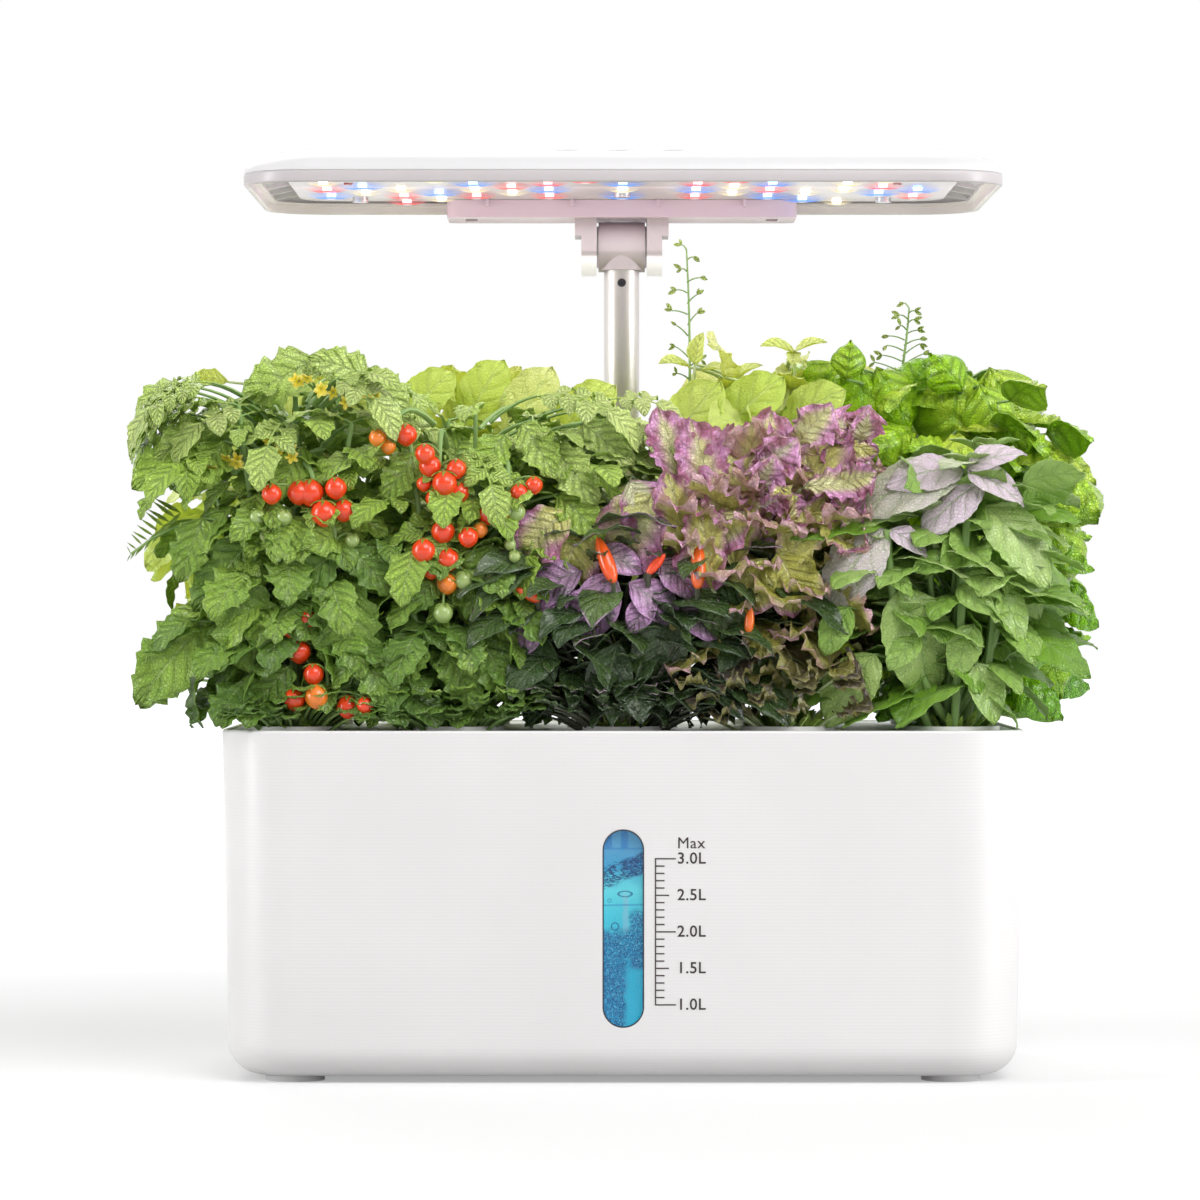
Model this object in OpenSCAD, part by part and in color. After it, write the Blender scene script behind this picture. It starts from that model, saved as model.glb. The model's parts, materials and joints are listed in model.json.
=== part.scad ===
// Countertop hydroponic garden: a water tank with a lift-off grow deck, nine
// plant pods, a circulation pump and a height-adjustable, tilting grow lamp.
// Millimetres. +X right, +Y back, +Z up. The origin is on the table, under the
// centre of the tank.

/* [Tank] */
// Width of the tank at its rim
tank_w = 272; // [256:2:330]
// Depth of the tank at its rim, front to back
tank_d = 160; // [152:2:190]
// Height of the tank body above its feet
tank_h = 116.6; // [108:0.2:150]
// Thickness of the tank's side walls
tank_wall = 2.6; // [2:0.1:3.4]
// Thickness of the tank's floor
tank_floor = 3; // [2:0.2:5]
// How far each wall leans in from the rim to the base
tank_draft = 2.4; // [1:0.2:4]
// Radius of the upright corners at the rim
tank_corner_r = 26; // [20:1:34]
// Radius where the walls turn into the base
tank_fillet_r = 10.5; // [6:0.5:13]
// Radius of a rubber foot
foot_r = 10; // [6:0.5:13]
// Height of the feet below the tank
foot_h = 2; // [1:0.5:5]
// Width of the ledge inside the rim that carries the deck
ledge_w = 3.4; // [2.6:0.2:5]

/* [Window] */
// Width of the round-ended water window
window_w = 13.6; // [10:0.2:17]
// Height of the water window
window_h = 66.2; // [50:0.2:76]
// Height of the window's centre above the table
window_z = 52.3; // [48:0.1:60]
// Height of the one litre mark above the table
litre_1_z = 26.8; // [24:0.1:34]
// Distance between two whole litre marks
litre_step = 24.5; // [18:0.1:26]

/* [Deck] */
// Thickness of the deck plate
deck_t = 2.4; // [2:0.1:4]
// How far the deck's top lies below the rim
deck_sink = 0.4; // [0.2:0.1:2]
// Distance from the tank's side to the outer pods
pod_side = 24; // [20:0.2:30]
// Distance from the tank's front to the front row of pods
pod_front = 28; // [22:0.5:30]
// Distance from the tank's back to the rear row of pods
pod_back = 42; // [38:0.5:44]
// Outer radius of a basket's collar
collar_r = 16; // [14.8:0.1:17.6]
// Height of a basket's collar above the deck
collar_h = 1.5; // [1:0.1:3]
// Outer radius of a basket under its collar
basket_r = 13.4; // [12:0.1:14]
// Depth of a basket below the deck's top
basket_h = 34; // [26:0.5:40]
// Width of the refill port
port_w = 32; // [20:1:38]
// Depth of the refill port, front to back
port_d = 20; // [14:1:22]

/* [Lamp pole] */
// Distance from the tank's back to the pole's axis
pole_back = 25; // [24:0.5:27]
// Outer radius of the sliding tube
tube_r = 6.35; // [5.6:0.05:7]
// Wall of the sliding tube
tube_wall = 1; // [0.8:0.1:1.2]
// Outer radius of the fixed tube
mast_r = 8; // [7.9:0.05:8.6]
// Height of the fixed tube's top above the table
mast_top = 222; // [200:1:236]
// Height of the lamp's tilt axis above the table
pivot_z = 289.5; // [280:0.5:310]
// Radius of the tilt barrel
barrel_r = 9; // [8.6:0.1:9.2]
// Length of the tilt barrel
barrel_w = 16.7; // [14:0.1:18]
// Radius of the tilt bolt
bolt_r = 2.5; // [2:0.1:3]

/* [Lamp head] */
// Width of the lamp head
head_w = 257; // [230:1:300]
// Depth of the lamp head, front to back
head_d = 152; // [140:1:170]
// Radius of the head's corners
head_corner_r = 22; // [18:1:28]
// Distance from the tilt axis to the head's rear edge
head_back = 17; // [16.8:0.1:24]
// Height of the head's upright rim
head_rim_h = 3.9; // [3.4:0.1:6]
// Height of the domed cover above the rim
cover_h = 7.7; // [7:0.1:12]
// Wall of the head's plastic parts
head_wall = 2; // [1.6:0.1:2.4]
// Thickness of the lamp's circuit board
board_t = 1.2; // [1:0.1:1.6]
// Width of the driver box under the head
driver_w = 125; // [100:1:150]
// Radius of a push button
button_r = 4.8; // [4:0.1:6]
// Travel of a push button
button_travel = 1; // [0.6:0.1:1.2]

/* [Plants] */
// Width of the foliage over both ends of the tank
foliage_w = 336; // [320:2:400]
// Height of the tallest leaves above the table
foliage_top = 248; // [220:1:252]
// Height of the right tomato plant above the table
tomato_right_top = 226; // [200:1:250]
// Height of the chili plant above the table
chili_top = 196; // [176:1:240]
// Height of the lettuce above the table
lettuce_top = 230; // [190:1:250]
// Height of the front basil above the table
basil_front_top = 218; // [190:1:250]
// Height of the salad plants above the table
salad_top = 244; // [200:1:250]
// Height of the lowest leaves' stalks above the rim
leaf_start = 17; // [14:0.5:22]
// Height of the leaves above the top of a stem
crown_h = 24; // [16:1:30]
// Gap between one plant's leaves and the next plant's
foliage_gap = 2; // [1:0.5:4]
// Thickness of a leaf
leaf_t = 1.4; // [1:0.1:2]
// Radius of a stem at its foot
stem_foot_r = 2.6; // [1.8:0.1:3.4]
// Radius of a stem at its top
stem_top_r = 1.4; // [1:0.1:1.8]
// Radius of a tomato
tomato_r = 4; // [3:0.1:5]

/* [Hidden] */

$fn = 48;
eps = 0.01;
fit = 0.05;          // running and push fits, per side
gap = 0.1;           // between parts that move apart
clear = 0.3;         // loose clearance, per side

// Levels of the tank and deck
rim_z = foot_h + tank_h;
floor_z = foot_h + tank_floor;
deck_top = rim_z - deck_sink;
ledge_z = deck_top - deck_t;
ledge_t = 2.4;
skirt_h = 6;
skirt_t = 1.6;
draft_a = atan(tank_draft / tank_h);
wall_n = tank_wall * cos(draft_a);

// Places on the deck
pole_y = tank_d / 2 - pole_back;
pitch_x = (tank_w - 2 * pod_side) / 4;
front_y = -(tank_d / 2 - pod_front);
rear_y = tank_d / 2 - pod_back;
basket_wall = 1.2;
basket_bottom_r = basket_r - 2.6;
plug_wall_gap = 0.3;
plug_top = deck_top + collar_h - 1.2;
leaf_clear = 12;     // from the rim up to the lowest point of a leaf
port_y = (front_y + rear_y) / 2 + 9;

// Window parts
lens_lip = 4;
lens_t = 1.6;
gasket_t = 0.8;

// Feet
foot_sink = 0.8;
foot_x = tank_w / 2 - 25;
foot_y = tank_d / 2 - 22;

// Flap
flap_t = 1.8;
flap_lip = 3;
flap_pin_r = 0.9;
flap_barrel_r = 1.5;
lug_w = 3.4;
hinge_reach = 3.3;   // from the hinge axis to the flap's plate
hinge_y = port_y + port_d / 2 + flap_lip + hinge_reach;
hinge_z = deck_top + flap_barrel_r + clear;

// Pole socket
socket_w = 34;
socket_front = pole_y - 16;
socket_rear = pole_y + 21;
socket_h = 13.8;
boss_r = mast_r + 3.5;
boss_h = 22;
spigot_r = mast_r + 2;
spigot_h = 7.8;
spigot_floor = 2;
mast_bottom = ledge_z - spigot_h + spigot_floor;
jack = [10.6, 11.2, 9.6];
jack_z = deck_top + 8.3;
plug_bore_r = 2.9;
plug_pin_r = 1.05;

// Tubes
mast_in_r = tube_r + 0.65;
bush_h = 18;
bush_flange = 2;
tube_top = pivot_z - 8.5;
tube_bottom = deck_top + 13.8;
plug_h = 4;
spigot_in = 13;      // length of the knuckle's spigot inside the tube
lead_r = 1.6;
coil_r = 4.2;
set_r = 1.5;
set_z = tube_top - 4.6;

// Pump
pump_w = 34;
pump_d = 26;
pump_h = 24;
pump_z = floor_z + 3;
pump_y = pole_y;
pump_front = pump_y - pump_d / 2;
rotor_z = pump_z + pump_h / 2;
chamber_r = 9;
chamber_d = 9;
well_r = 5.4;
well_d = 11;
shaft_r = 1;
stem_r = 7.5;
stem_bore = 4;

// Levels of the lamp head
box_z = pivot_z + 9.7;
box_h = 6.1;
board_z = box_z + box_h + gap;
head_z = board_z - 3;
cover_z = head_z + head_rim_h;
head_top = cover_z + cover_h;
ceiling_z = head_top - head_wall;
head_y = pole_y + head_back - head_d / 2;
head_front = head_y - head_d / 2;
board_side = 14;     // from the board's edge to the head's side
board_w = head_w - 2 * board_side;
board_front = head_front + 6;
board_rear = pole_y - 9;
board_r = 14;
box_front = pole_y - 17;
box_rear = pole_y + head_back - head_wall - clear;
box_wall = 1.8;
ear_t = 5.5;
ear_r = 10.5;
ear_x = barrel_w / 2 + 0.65;
washer_t = ear_x - barrel_w / 2 - fit;
tab_t = 2.3;
tab_h = 6.2;
plate_t = 1.2;
pcb_x = 18.5;        // left edge of the driver's circuit board
pcb_w = 31;
pcb_d = 24;
pcb_lift = 0.8;
screw_r = 1.4;
screw_head_r = 2.8;
screw_head_h = 1.6;
post_r = 3;
post_in = 0.5;       // how far a post runs into the cover

// Lights on the board: one string for each row, from the front to the back.
// Odd rows are shifted by half a pitch and have one place less.
LED_ROWS = [
    "r.w.b.w.r", ".w.r.r.w", "w.brbrbw.", "b.r..w.r", "rwwbwbrwb",
    "wbw..wwb", "brrrbrb.r", ".w....b.", ".r.....w."
];
led_size = 3;
led_h = 0.8;
led_edge = 12;       // from the board's side to the first column
led_pitch_x = (board_w - 2 * led_edge) / 8;
led_first_y = board_front + 4;
led_pitch_y = (board_rear - board_front - 8) / 8;
infrared_x = board_w / 2 - 20.5;

// Posts of the light board, from its edges; the rear middle one is between two rows of lights
post_front = 13;
post_rear = 16;
post_side = 21.5;
post_middle_y = led_first_y + 5.5 * led_pitch_y;

// Buttons
button_x = 18;       // spacing of the buttons
button_y = head_front + 30;
button_proud = 1.2;
button_flange = 1.2;
button_flange_t = 0.8;
switch_w = 60;
switch_d = 14;
switch_z = board_z + board_t + 0.7;
switch_t = 1;
tact_h = 0.6;

// Pods: column, row and the node names' order. Row 0 is the front row.
POD_SPOTS = [
    [-2, 0], [-1, 0], [0, 0], [1, 0], [2, 0],
    [-2, 1], [-1, 1], [1, 1], [2, 1]
];
row_split = (front_y + rear_y) / 2 - 8;

function pod_x(k) = POD_SPOTS[k][0] * pitch_x;
function pod_y(k) = POD_SPOTS[k][1] == 0 ? front_y : rear_y;

// ---- Shared shapes -------------------------------------------------------

// Corner points of a rounded rectangle that is centred on the origin
function rounded(w, d, r, n = 8) = [
    for (q = [0:3], i = [0:n])
        let (a = 90 * q + 90 * i / n,
             cx = (q == 0 || q == 3 ? 1 : -1) * (w / 2 - r),
             cy = (q < 2 ? 1 : -1) * (d / 2 - r))
        [cx + r * cos(a), cy + r * sin(a)]
];

module rounded_plate(w, d, r, t) {
    linear_extrude(t) polygon(rounded(w, d, r));
}

// Upright ring between two rounded rectangles, wall wide
module rounded_ring(w, d, r, wall, t) {
    linear_extrude(t) difference() {
        polygon(rounded(w, d, r));
        polygon(rounded(w - 2 * wall, d - 2 * wall, r - wall));
    }
}

// A rectangle with round ends, centred on the origin
module stadium(w, h) {
    for (s = [-1, 1]) translate([0, s * (h - w) / 2]) circle(w / 2);
    square([w, h - w], center = true);
}

// Cylinder along Y from its front end
module along_y(r, h) {
    rotate([-90, 0, 0]) cylinder(r = r, h = h);
}

// Cylinder along X, centred
module along_x(r, h) {
    rotate([0, 90, 0]) cylinder(r = r, h = h, center = true);
}

// How far the wall has leaned in at height z
function lean(z) = tank_draft * (rim_z - z) / tank_h;

// Puts a piece on the front wall: its X stays, its Y runs up the wall and its
// Z points out of the wall
module on_front(z) {
    translate([0, -(tank_d / 2 - lean(z)), z]) rotate([90 + draft_a, 0, 0]) children();
}

// ---- Tank ----------------------------------------------------------------

// The tank's form, moved in by inset, from the level bottom to the level top
module tank_form(inset, bottom, top, fillet) {
    hull() {
        for (a = [0:15:90]) {
            z = bottom + fillet * (1 - cos(a));
            in = inset + lean(z) + fillet * (1 - sin(a));
            translate([0, 0, z])
                rounded_plate(tank_w - 2 * in, tank_d - 2 * in, tank_corner_r - in, eps);
        }
        in_top = inset + lean(top);
        translate([0, 0, top - eps])
            rounded_plate(tank_w - 2 * in_top, tank_d - 2 * in_top, tank_corner_r - in_top, eps);
    }
}

module tank_shell() {
    color("whitesmoke") {
        difference() {
            tank_form(0, foot_h, rim_z, tank_fillet_r);
            tank_form(tank_wall, floor_z, rim_z + 2, tank_fillet_r - tank_wall);
            on_front(window_z) translate([0, 0, -2 * tank_wall])
                linear_extrude(4 * tank_wall) stadium(window_w, window_h);
            for (sx = [-1, 1], sy = [-1, 1])
                translate([sx * foot_x, sy * foot_y, foot_h - eps])
                    cylinder(r = foot_r + fit, h = foot_sink + eps);
        }
        ledge_in = tank_wall / 2 + lean(ledge_z - ledge_t);
        translate([0, 0, ledge_z - ledge_t])
            rounded_ring(tank_w - 2 * ledge_in, tank_d - 2 * ledge_in,
                         tank_corner_r - ledge_in, ledge_w + tank_wall / 2, ledge_t);
    }
}

module window_gasket() {
    color("dimgray") on_front(window_z) translate([0, 0, -wall_n - gasket_t])
        linear_extrude(gasket_t) difference() {
            stadium(window_w + 2 * lens_lip, window_h + 2 * lens_lip);
            stadium(window_w + 0.5, window_h + 0.5);
        }
}

module window_lens() {
    color("deepskyblue", 0.6) on_front(window_z) {
        translate([0, 0, -wall_n - gasket_t - lens_t]) linear_extrude(lens_t)
            stadium(window_w + 2 * lens_lip, window_h + 2 * lens_lip);
        translate([0, 0, -wall_n - gasket_t - eps])
            linear_extrude(wall_n + gasket_t - 0.3)
                stadium(window_w - 2 * gap, window_h - 2 * gap);
    }
}

// Printed scale: a line with a tick each tenth of a litre
module level_scale() {
    line_w = 0.4;
    line_x = window_w / 2 + 4;
    ink_t = 0.15;
    tenth = litre_step / 10;
    color("black") on_front(litre_1_z) linear_extrude(ink_t) {
        translate([line_x - line_w / 2, -line_w / 2]) square([line_w, 2 * litre_step + line_w]);
        for (i = [0:20]) {
            tick = i % 10 == 0 ? 6.8 : i % 5 == 0 ? 4.5 : 3;
            translate([line_x, i * tenth - line_w / 2]) square([tick, line_w]);
        }
    }
}

module rubber_feet() {
    color("gray") for (sx = [-1, 1], sy = [-1, 1])
        translate([sx * foot_x, sy * foot_y, 0]) cylinder(r = foot_r, h = foot_h + foot_sink);
}

// ---- Grow deck -----------------------------------------------------------

module grow_deck() {
    plate_in = tank_wall + lean(ledge_z) + clear;
    skirt_in = plate_in + ledge_w + clear;
    color("white") difference() {
        union() {
            translate([0, 0, ledge_z])
                rounded_plate(tank_w - 2 * plate_in, tank_d - 2 * plate_in,
                              tank_corner_r - plate_in, deck_t);
            translate([0, 0, ledge_z - skirt_h])
                rounded_ring(tank_w - 2 * skirt_in, tank_d - 2 * skirt_in,
                             tank_corner_r - skirt_in, skirt_t, skirt_h + eps);
            for (s = [-1, 1])
                translate([s * (port_w / 2 - lug_w) - lug_w / 2, hinge_y - 2, deck_top - eps])
                    cube([lug_w, 4, hinge_z - deck_top + 1.9]);
        }
        for (k = [0:8]) translate([pod_x(k), pod_y(k), ledge_z - 1])
            cylinder(r = basket_r + clear, h = deck_t + 2);
        translate([-port_w / 2, port_y - port_d / 2, ledge_z - 1])
            cube([port_w, port_d, deck_t + 2]);
        translate([0, pole_y, ledge_z - 1]) cylinder(r = spigot_r + fit, h = deck_t + 2);
        translate([0, hinge_y, hinge_z]) along_x(flap_pin_r + fit, port_w + 10);
        socket_screw_places() translate([0, 0, ledge_z - 1])
            cylinder(r = screw_r + fit, h = deck_t + 2);
    }
}

module refill_flap() {
    barrel_w = port_w - 3 * lug_w - 2 * clear;
    plate_z = deck_top + gap;
    plate_front = port_y - port_d / 2 - flap_lip;
    color("white") {
        translate([-port_w / 2 - flap_lip, plate_front, plate_z])
            cube([port_w + 2 * flap_lip, hinge_y - hinge_reach - plate_front, flap_t]);
        translate([-port_w / 6, plate_front - 2, plate_z + flap_t / 2])
            cube([port_w / 3, 2 + eps, flap_t / 2]);
        translate([-barrel_w / 2, hinge_y - hinge_reach - eps, plate_z + 0.4])
            cube([barrel_w, hinge_reach, flap_t - 0.4]);
        translate([0, hinge_y, hinge_z]) {
            along_x(flap_barrel_r, barrel_w);
            along_x(flap_pin_r, port_w - 2 * lug_w + lug_w);
        }
    }
}

module socket_screw_places() {
    for (s = [-1, 1]) translate([s * (socket_w / 2 - 4), pole_y - 10, 0]) children();
}

module pole_socket() {
    color("white") difference() {
        union() {
            translate([0, (socket_front + socket_rear) / 2, deck_top])
                rounded_plate(socket_w, socket_rear - socket_front, 6, socket_h);
            translate([0, pole_y, deck_top]) cylinder(r = boss_r, h = boss_h);
            translate([0, pole_y, ledge_z - spigot_h])
                cylinder(r = spigot_r, h = spigot_h + deck_t + 1);
        }
        translate([0, pole_y, mast_bottom]) cylinder(r = mast_r + fit, h = 60);
        translate([0, pole_y, ledge_z - spigot_h - 1]) cylinder(r = stem_bore, h = 10);
        translate([-jack[0] / 2 - fit, socket_rear - jack[1], jack_z - jack[2] / 2 - fit])
            cube([jack[0] + 2 * fit, jack[1] + 1, jack[2] + 2 * fit]);
        socket_screw_places() translate([0, 0, deck_top - 1])
            cylinder(r = screw_r + fit, h = 9 + gap);
    }
}

module socket_screws() {
    color("silver") socket_screw_places() {
        translate([0, 0, ledge_z - screw_head_h]) cylinder(r = screw_head_r, h = screw_head_h);
        translate([0, 0, ledge_z - eps]) cylinder(r = screw_r, h = deck_t + 8);
    }
}

// Barrel inlet for a plug, open at the back
module dc_jack() {
    color("black") {
        difference() {
            translate([-jack[0] / 2, socket_rear - jack[1] + fit, jack_z - jack[2] / 2])
                cube([jack[0], jack[1] - fit, jack[2]]);
            translate([0, socket_rear - 9, jack_z]) along_y(plug_bore_r, 10);
        }
        translate([0, socket_rear - 9 - eps, jack_z]) along_y(plug_pin_r, 8);
    }
}

// ---- Pole ----------------------------------------------------------------

module tube(r, r_in, bottom, top) {
    translate([0, pole_y, bottom]) difference() {
        cylinder(r = r, h = top - bottom);
        translate([0, 0, -1]) cylinder(r = r_in, h = top - bottom + 2);
    }
}

module mast_tube() {
    color("lightgray") tube(mast_r, mast_in_r, mast_bottom, mast_top);
}

module guide_bush() {
    color("gainsboro") {
        tube(mast_r, tube_r + fit, mast_top, mast_top + bush_flange);
        tube(mast_in_r - fit / 2, tube_r + fit, mast_top - bush_h, mast_top + eps);
    }
}

module sliding_tube() {
    color("lightgray") difference() {
        tube(tube_r, tube_r - tube_wall, tube_bottom, tube_top);
        translate([0, pole_y - tube_r - 1, set_z]) along_y(set_r + fit, tube_r);
    }
}

module slide_plug() {
    color("dimgray") {
        tube(mast_in_r - gap, coil_r + clear, tube_bottom - plug_h, tube_bottom);
        tube(tube_r - tube_wall - fit, coil_r + clear, tube_bottom - eps, tube_bottom + 6);
    }
}

module tilt_knuckle() {
    neck_z = tube_top - 1;
    color("white") difference() {
        union() {
            translate([0, pole_y, pivot_z]) along_x(barrel_r, barrel_w);
            translate([0, pole_y, neck_z + 1])
                cylinder(r = barrel_w / 2, h = pivot_z - neck_z - 1);
            translate([0, pole_y, tube_top - spigot_in])
                cylinder(r = tube_r - tube_wall - fit, h = spigot_in + 1);
        }
        translate([0, pole_y, pivot_z]) along_x(bolt_r + fit, barrel_w + 2);
        translate([0, pole_y - tube_r, set_z]) along_y(set_r + fit, 4 + fit);
    }
}

module set_screw() {
    color("dimgray") difference() {
        translate([0, pole_y - tube_r - 0.1, set_z]) along_y(set_r, 4);
        translate([0, pole_y - tube_r - 0.2, set_z]) along_y(0.7, 1.3);
    }
}

module friction_washers() {
    color("gray") for (s = [-1, 1])
        translate([s * (barrel_w + washer_t) / 2, pole_y, pivot_z]) difference() {
            along_x(barrel_r - 1.5, washer_t);
            along_x(bolt_r + fit, washer_t + 1);
        }
}

// Coiled lead that carries the lamp's power inside the tubes
module lamp_lead() {
    color("black") translate([0, pole_y, mast_bottom + 4])
        cylinder(r = coil_r, h = tube_top - spigot_in - gap - mast_bottom - 4);
}

// ---- Pump ----------------------------------------------------------------

module pump_stem() {
    color("white") tube(stem_r, stem_bore, pump_z + pump_h, ledge_z - spigot_h);
}

module pump_lead() {
    bottom = pump_z + pump_h;
    color("black") translate([0, pole_y, bottom])
        cylinder(r = lead_r, h = mast_bottom + 4 - bottom);
}

module pump_body() {
    nozzle_z = rotor_z;
    nozzle_y = pump_front + chamber_d / 2;
    color("dimgray") difference() {
        union() {
            translate([0, pump_y, pump_z]) rounded_plate(pump_w, pump_d, 4, pump_h);
            translate([pump_w / 2 - 1, nozzle_y, nozzle_z]) rotate([0, 90, 0])
                cylinder(r = 4, h = 9);
        }
        translate([0, pump_front - 1, rotor_z]) along_y(chamber_r, chamber_d + 1);
        translate([0, pump_front, rotor_z]) along_y(well_r, chamber_d + well_d);
        translate([0, pump_front, rotor_z]) along_y(shaft_r + fit / 2, chamber_d + well_d + 2);
        translate([0, nozzle_y, nozzle_z]) rotate([0, 90, 0]) cylinder(r = 2.8, h = pump_w);
    }
}

module pump_cover() {
    color("black") difference() {
        translate([-pump_w / 2 + 4, pump_front - 2, pump_z + 1]) cube([pump_w - 8, 2, pump_h - 2]);
        for (a = [0:60:300]) translate([5 * cos(a), pump_front - 3, rotor_z + 5 * sin(a)])
            along_y(1.4, 4);
        translate([0, pump_front - 1.5, rotor_z]) along_y(shaft_r + fit / 2, 2);
    }
}

module impeller() {
    blade_y = pump_front + 1.4;
    blade_d = 4.6;
    color("lightgray") translate([0, blade_y, rotor_z]) difference() {
        union() {
            along_y(3, chamber_d + well_d - 3);
            translate([0, blade_d, 0]) along_y(chamber_r - 1, 1.2);
            for (a = [0:90:270]) rotate([0, a, 0]) translate([1.5, 0, -0.6])
                cube([chamber_r - 2.8, blade_d + 0.2, 1.2]);
            translate([0, chamber_d, 0]) along_y(well_r - 0.5, well_d - 3);
        }
        translate([0, -1, 0]) along_y(shaft_r + fit, chamber_d + well_d + 2);
    }
}

module impeller_shaft() {
    color("silver") translate([0, pump_front - 1.5, rotor_z])
        along_y(shaft_r, chamber_d + well_d + 3.4);
}

// ---- Lamp head -----------------------------------------------------------

module head_frame() {
    lip = 2.4;
    color("white") translate([0, head_y, 0]) {
        translate([0, 0, head_z]) rounded_ring(head_w, head_d, head_corner_r, head_wall, head_rim_h);
        translate([0, 0, cover_z - 1]) rounded_ring(head_w - 2, head_d - 2, head_corner_r - 1,
                                                    head_wall + lip - 1, 1);
    }
}

// The cover's form: from the rim it curves in to a flat top
module cover_form(inset, bottom, height) {
    hull() for (a = [0:18:90]) {
        in = inset + 18 * (1 - cos(a));
        translate([0, head_y, bottom + (height - eps) * sin(a)])
            rounded_plate(head_w - 2 * in, head_d - 2 * in, head_corner_r - in * 0.6, eps);
    }
}

module board_posts() {
    for (s = [-1, 1], y = [board_front + post_front, board_rear - post_rear])
        translate([s * (board_w / 2 - post_side), y, 0]) children();
    for (y = [board_front + post_front, post_middle_y]) translate([0, y, 0]) children();
}

module box_posts() {
    for (s = [-1, 1]) translate([s * (driver_w / 2 - 7), pole_y - 4, 0]) children();
}

module switch_posts() {
    for (s = [-1, 1]) translate([s * (switch_w / 2 - 4), button_y, 0]) children();
}

module top_cover() {
    board_top = board_z + board_t;
    rib_w = board_side - head_wall - 1;
    color("white") {
        difference() {
            cover_form(0, cover_z, cover_h);
            cover_form(head_wall, cover_z - eps, cover_h - head_wall + eps);
            for (i = [-1:1]) translate([i * button_x, button_y, ceiling_z - 1])
                cylinder(r = button_r + clear, h = head_wall + 2);
        }
        difference() {
            board_posts() translate([0, 0, board_top])
                cylinder(r = post_r, h = ceiling_z + post_in - board_top);
            board_posts() translate([0, 0, board_top - 1])
                cylinder(r = screw_r + fit, h = 5);
        }
        switch_posts() translate([0, 0, switch_z + switch_t])
            cylinder(r = 2, h = ceiling_z + post_in - switch_z - switch_t);
        box_posts() translate([0, 0, board_top + gap])
            cylinder(r = post_r, h = ceiling_z + post_in - board_top - gap);
        // Stiffening ribs in the hollow ends
        intersection() {
            cover_form(head_wall / 2, cover_z, cover_h);
            for (s = [-1, 1], y = [head_y - 48:24:head_y + 48])
                translate([s * (head_w / 2 - board_side / 2 - 1), y, cover_z])
                    cube([rib_w, 1.2, 2 * cover_h], center = true);
        }
    }
}

module led_board() {
    color("white") difference() {
        translate([0, (board_front + board_rear) / 2, board_z])
            rounded_plate(board_w, board_rear - board_front, board_r, board_t);
        board_posts() translate([0, 0, board_z - 1]) cylinder(r = screw_r + fit, h = board_t + 2);
        box_posts() translate([0, 0, board_z - 1]) cylinder(r = post_r + clear, h = board_t + 2);
    }
}

// Every light of one colour, by its letter in LED_ROWS
module leds(letter) {
    for (row = [0:len(LED_ROWS) - 1], col = [0:len(LED_ROWS[row]) - 1])
        if (LED_ROWS[row][col] == letter)
            translate([(col - (len(LED_ROWS[row]) - 1) / 2) * led_pitch_x,
                       led_first_y + row * led_pitch_y, board_z - led_h])
                led_chip();
}

module led_chip() {
    translate([-led_size / 2, -led_size / 2, 0]) cube([led_size, led_size, led_h]);
}

module leds_white() { color("ivory") leds("w"); }
module leds_red() { color("red") leds("r"); }
module leds_blue() { color("blue") leds("b"); }

module leds_infrared() {
    color("maroon") for (s = [-1, 1])
        translate([s * infrared_x, led_first_y + 2.3 * led_pitch_y, board_z - led_h]) led_chip();
}

module bracket_screw_places() {
    for (sx = [-1, 1], sy = [-1, 1]) translate([sx * 5, pole_y + sy * 7, 0]) children();
}

module head_screws() {
    color("silver") {
        board_posts() {
            translate([0, 0, board_z - screw_head_h]) cylinder(r = screw_head_r, h = screw_head_h);
            translate([0, 0, board_z - eps]) cylinder(r = screw_r, h = board_t + 3);
        }
        bracket_screw_places() {
            translate([0, 0, box_z + box_wall + plate_t])
                cylinder(r = 2.4, h = 1.2);
            translate([0, 0, box_z + 0.4]) cylinder(r = screw_r, h = box_wall + plate_t);
        }
    }
}

module driver_box() {
    box_d = box_rear - box_front;
    mid_y = (box_front + box_rear) / 2;
    color("white") difference() {
        union() {
            difference() {
                translate([0, mid_y, box_z]) rounded_plate(driver_w, box_d, 4, box_h);
                translate([0, mid_y, box_z + box_wall])
                    rounded_plate(driver_w - 2 * box_wall, box_d - 2 * box_wall, 2.2, box_h);
            }
            // Posts that meet the cover's posts
            box_posts() translate([0, 0, box_z + box_wall - eps])
                cylinder(r = post_r, h = board_z + board_t - box_z - box_wall);
            pcb_corners() translate([0, 0, box_z + box_wall - eps])
                cylinder(r = 1.5, h = pcb_lift + eps);
        }
        for (s = [-1, 1]) translate([s * (ear_x + ear_t / 2), pole_y, box_z])
            cube([ear_t + 2 * gap, 2 * ear_r + 2 * gap, 4 * box_wall], center = true);
        bracket_screw_places() translate([0, 0, box_z - 1])
            cylinder(r = screw_r + fit, h = box_wall + 2);
        for (s = [-1, 1]) translate([s * (driver_w / 2 - 8.5), mid_y, box_z])
            cube([4.3, 12, 6 * box_wall], center = true);
    }
}

module pcb_corners() {
    for (sx = [0, 1], sy = [-1, 1])
        translate([pcb_x + 3 + sx * (pcb_w - 6), pole_y - 1 + sy * (pcb_d / 2 - 3), 0]) children();
}

module driver_pcb() {
    z = box_z + box_wall + pcb_lift;
    color("darkgreen") {
        translate([pcb_x, pole_y - 1 - pcb_d / 2, z]) cube([pcb_w, pcb_d, 1.2]);
        for (part = [[2, -8, 9], [14, -6, 7], [24, 2, 6]])
            translate([pcb_x + part[0], pole_y + part[1], z + 1.2 - eps])
                cube([part[2], 6, 1.3]);
    }
}

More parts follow.
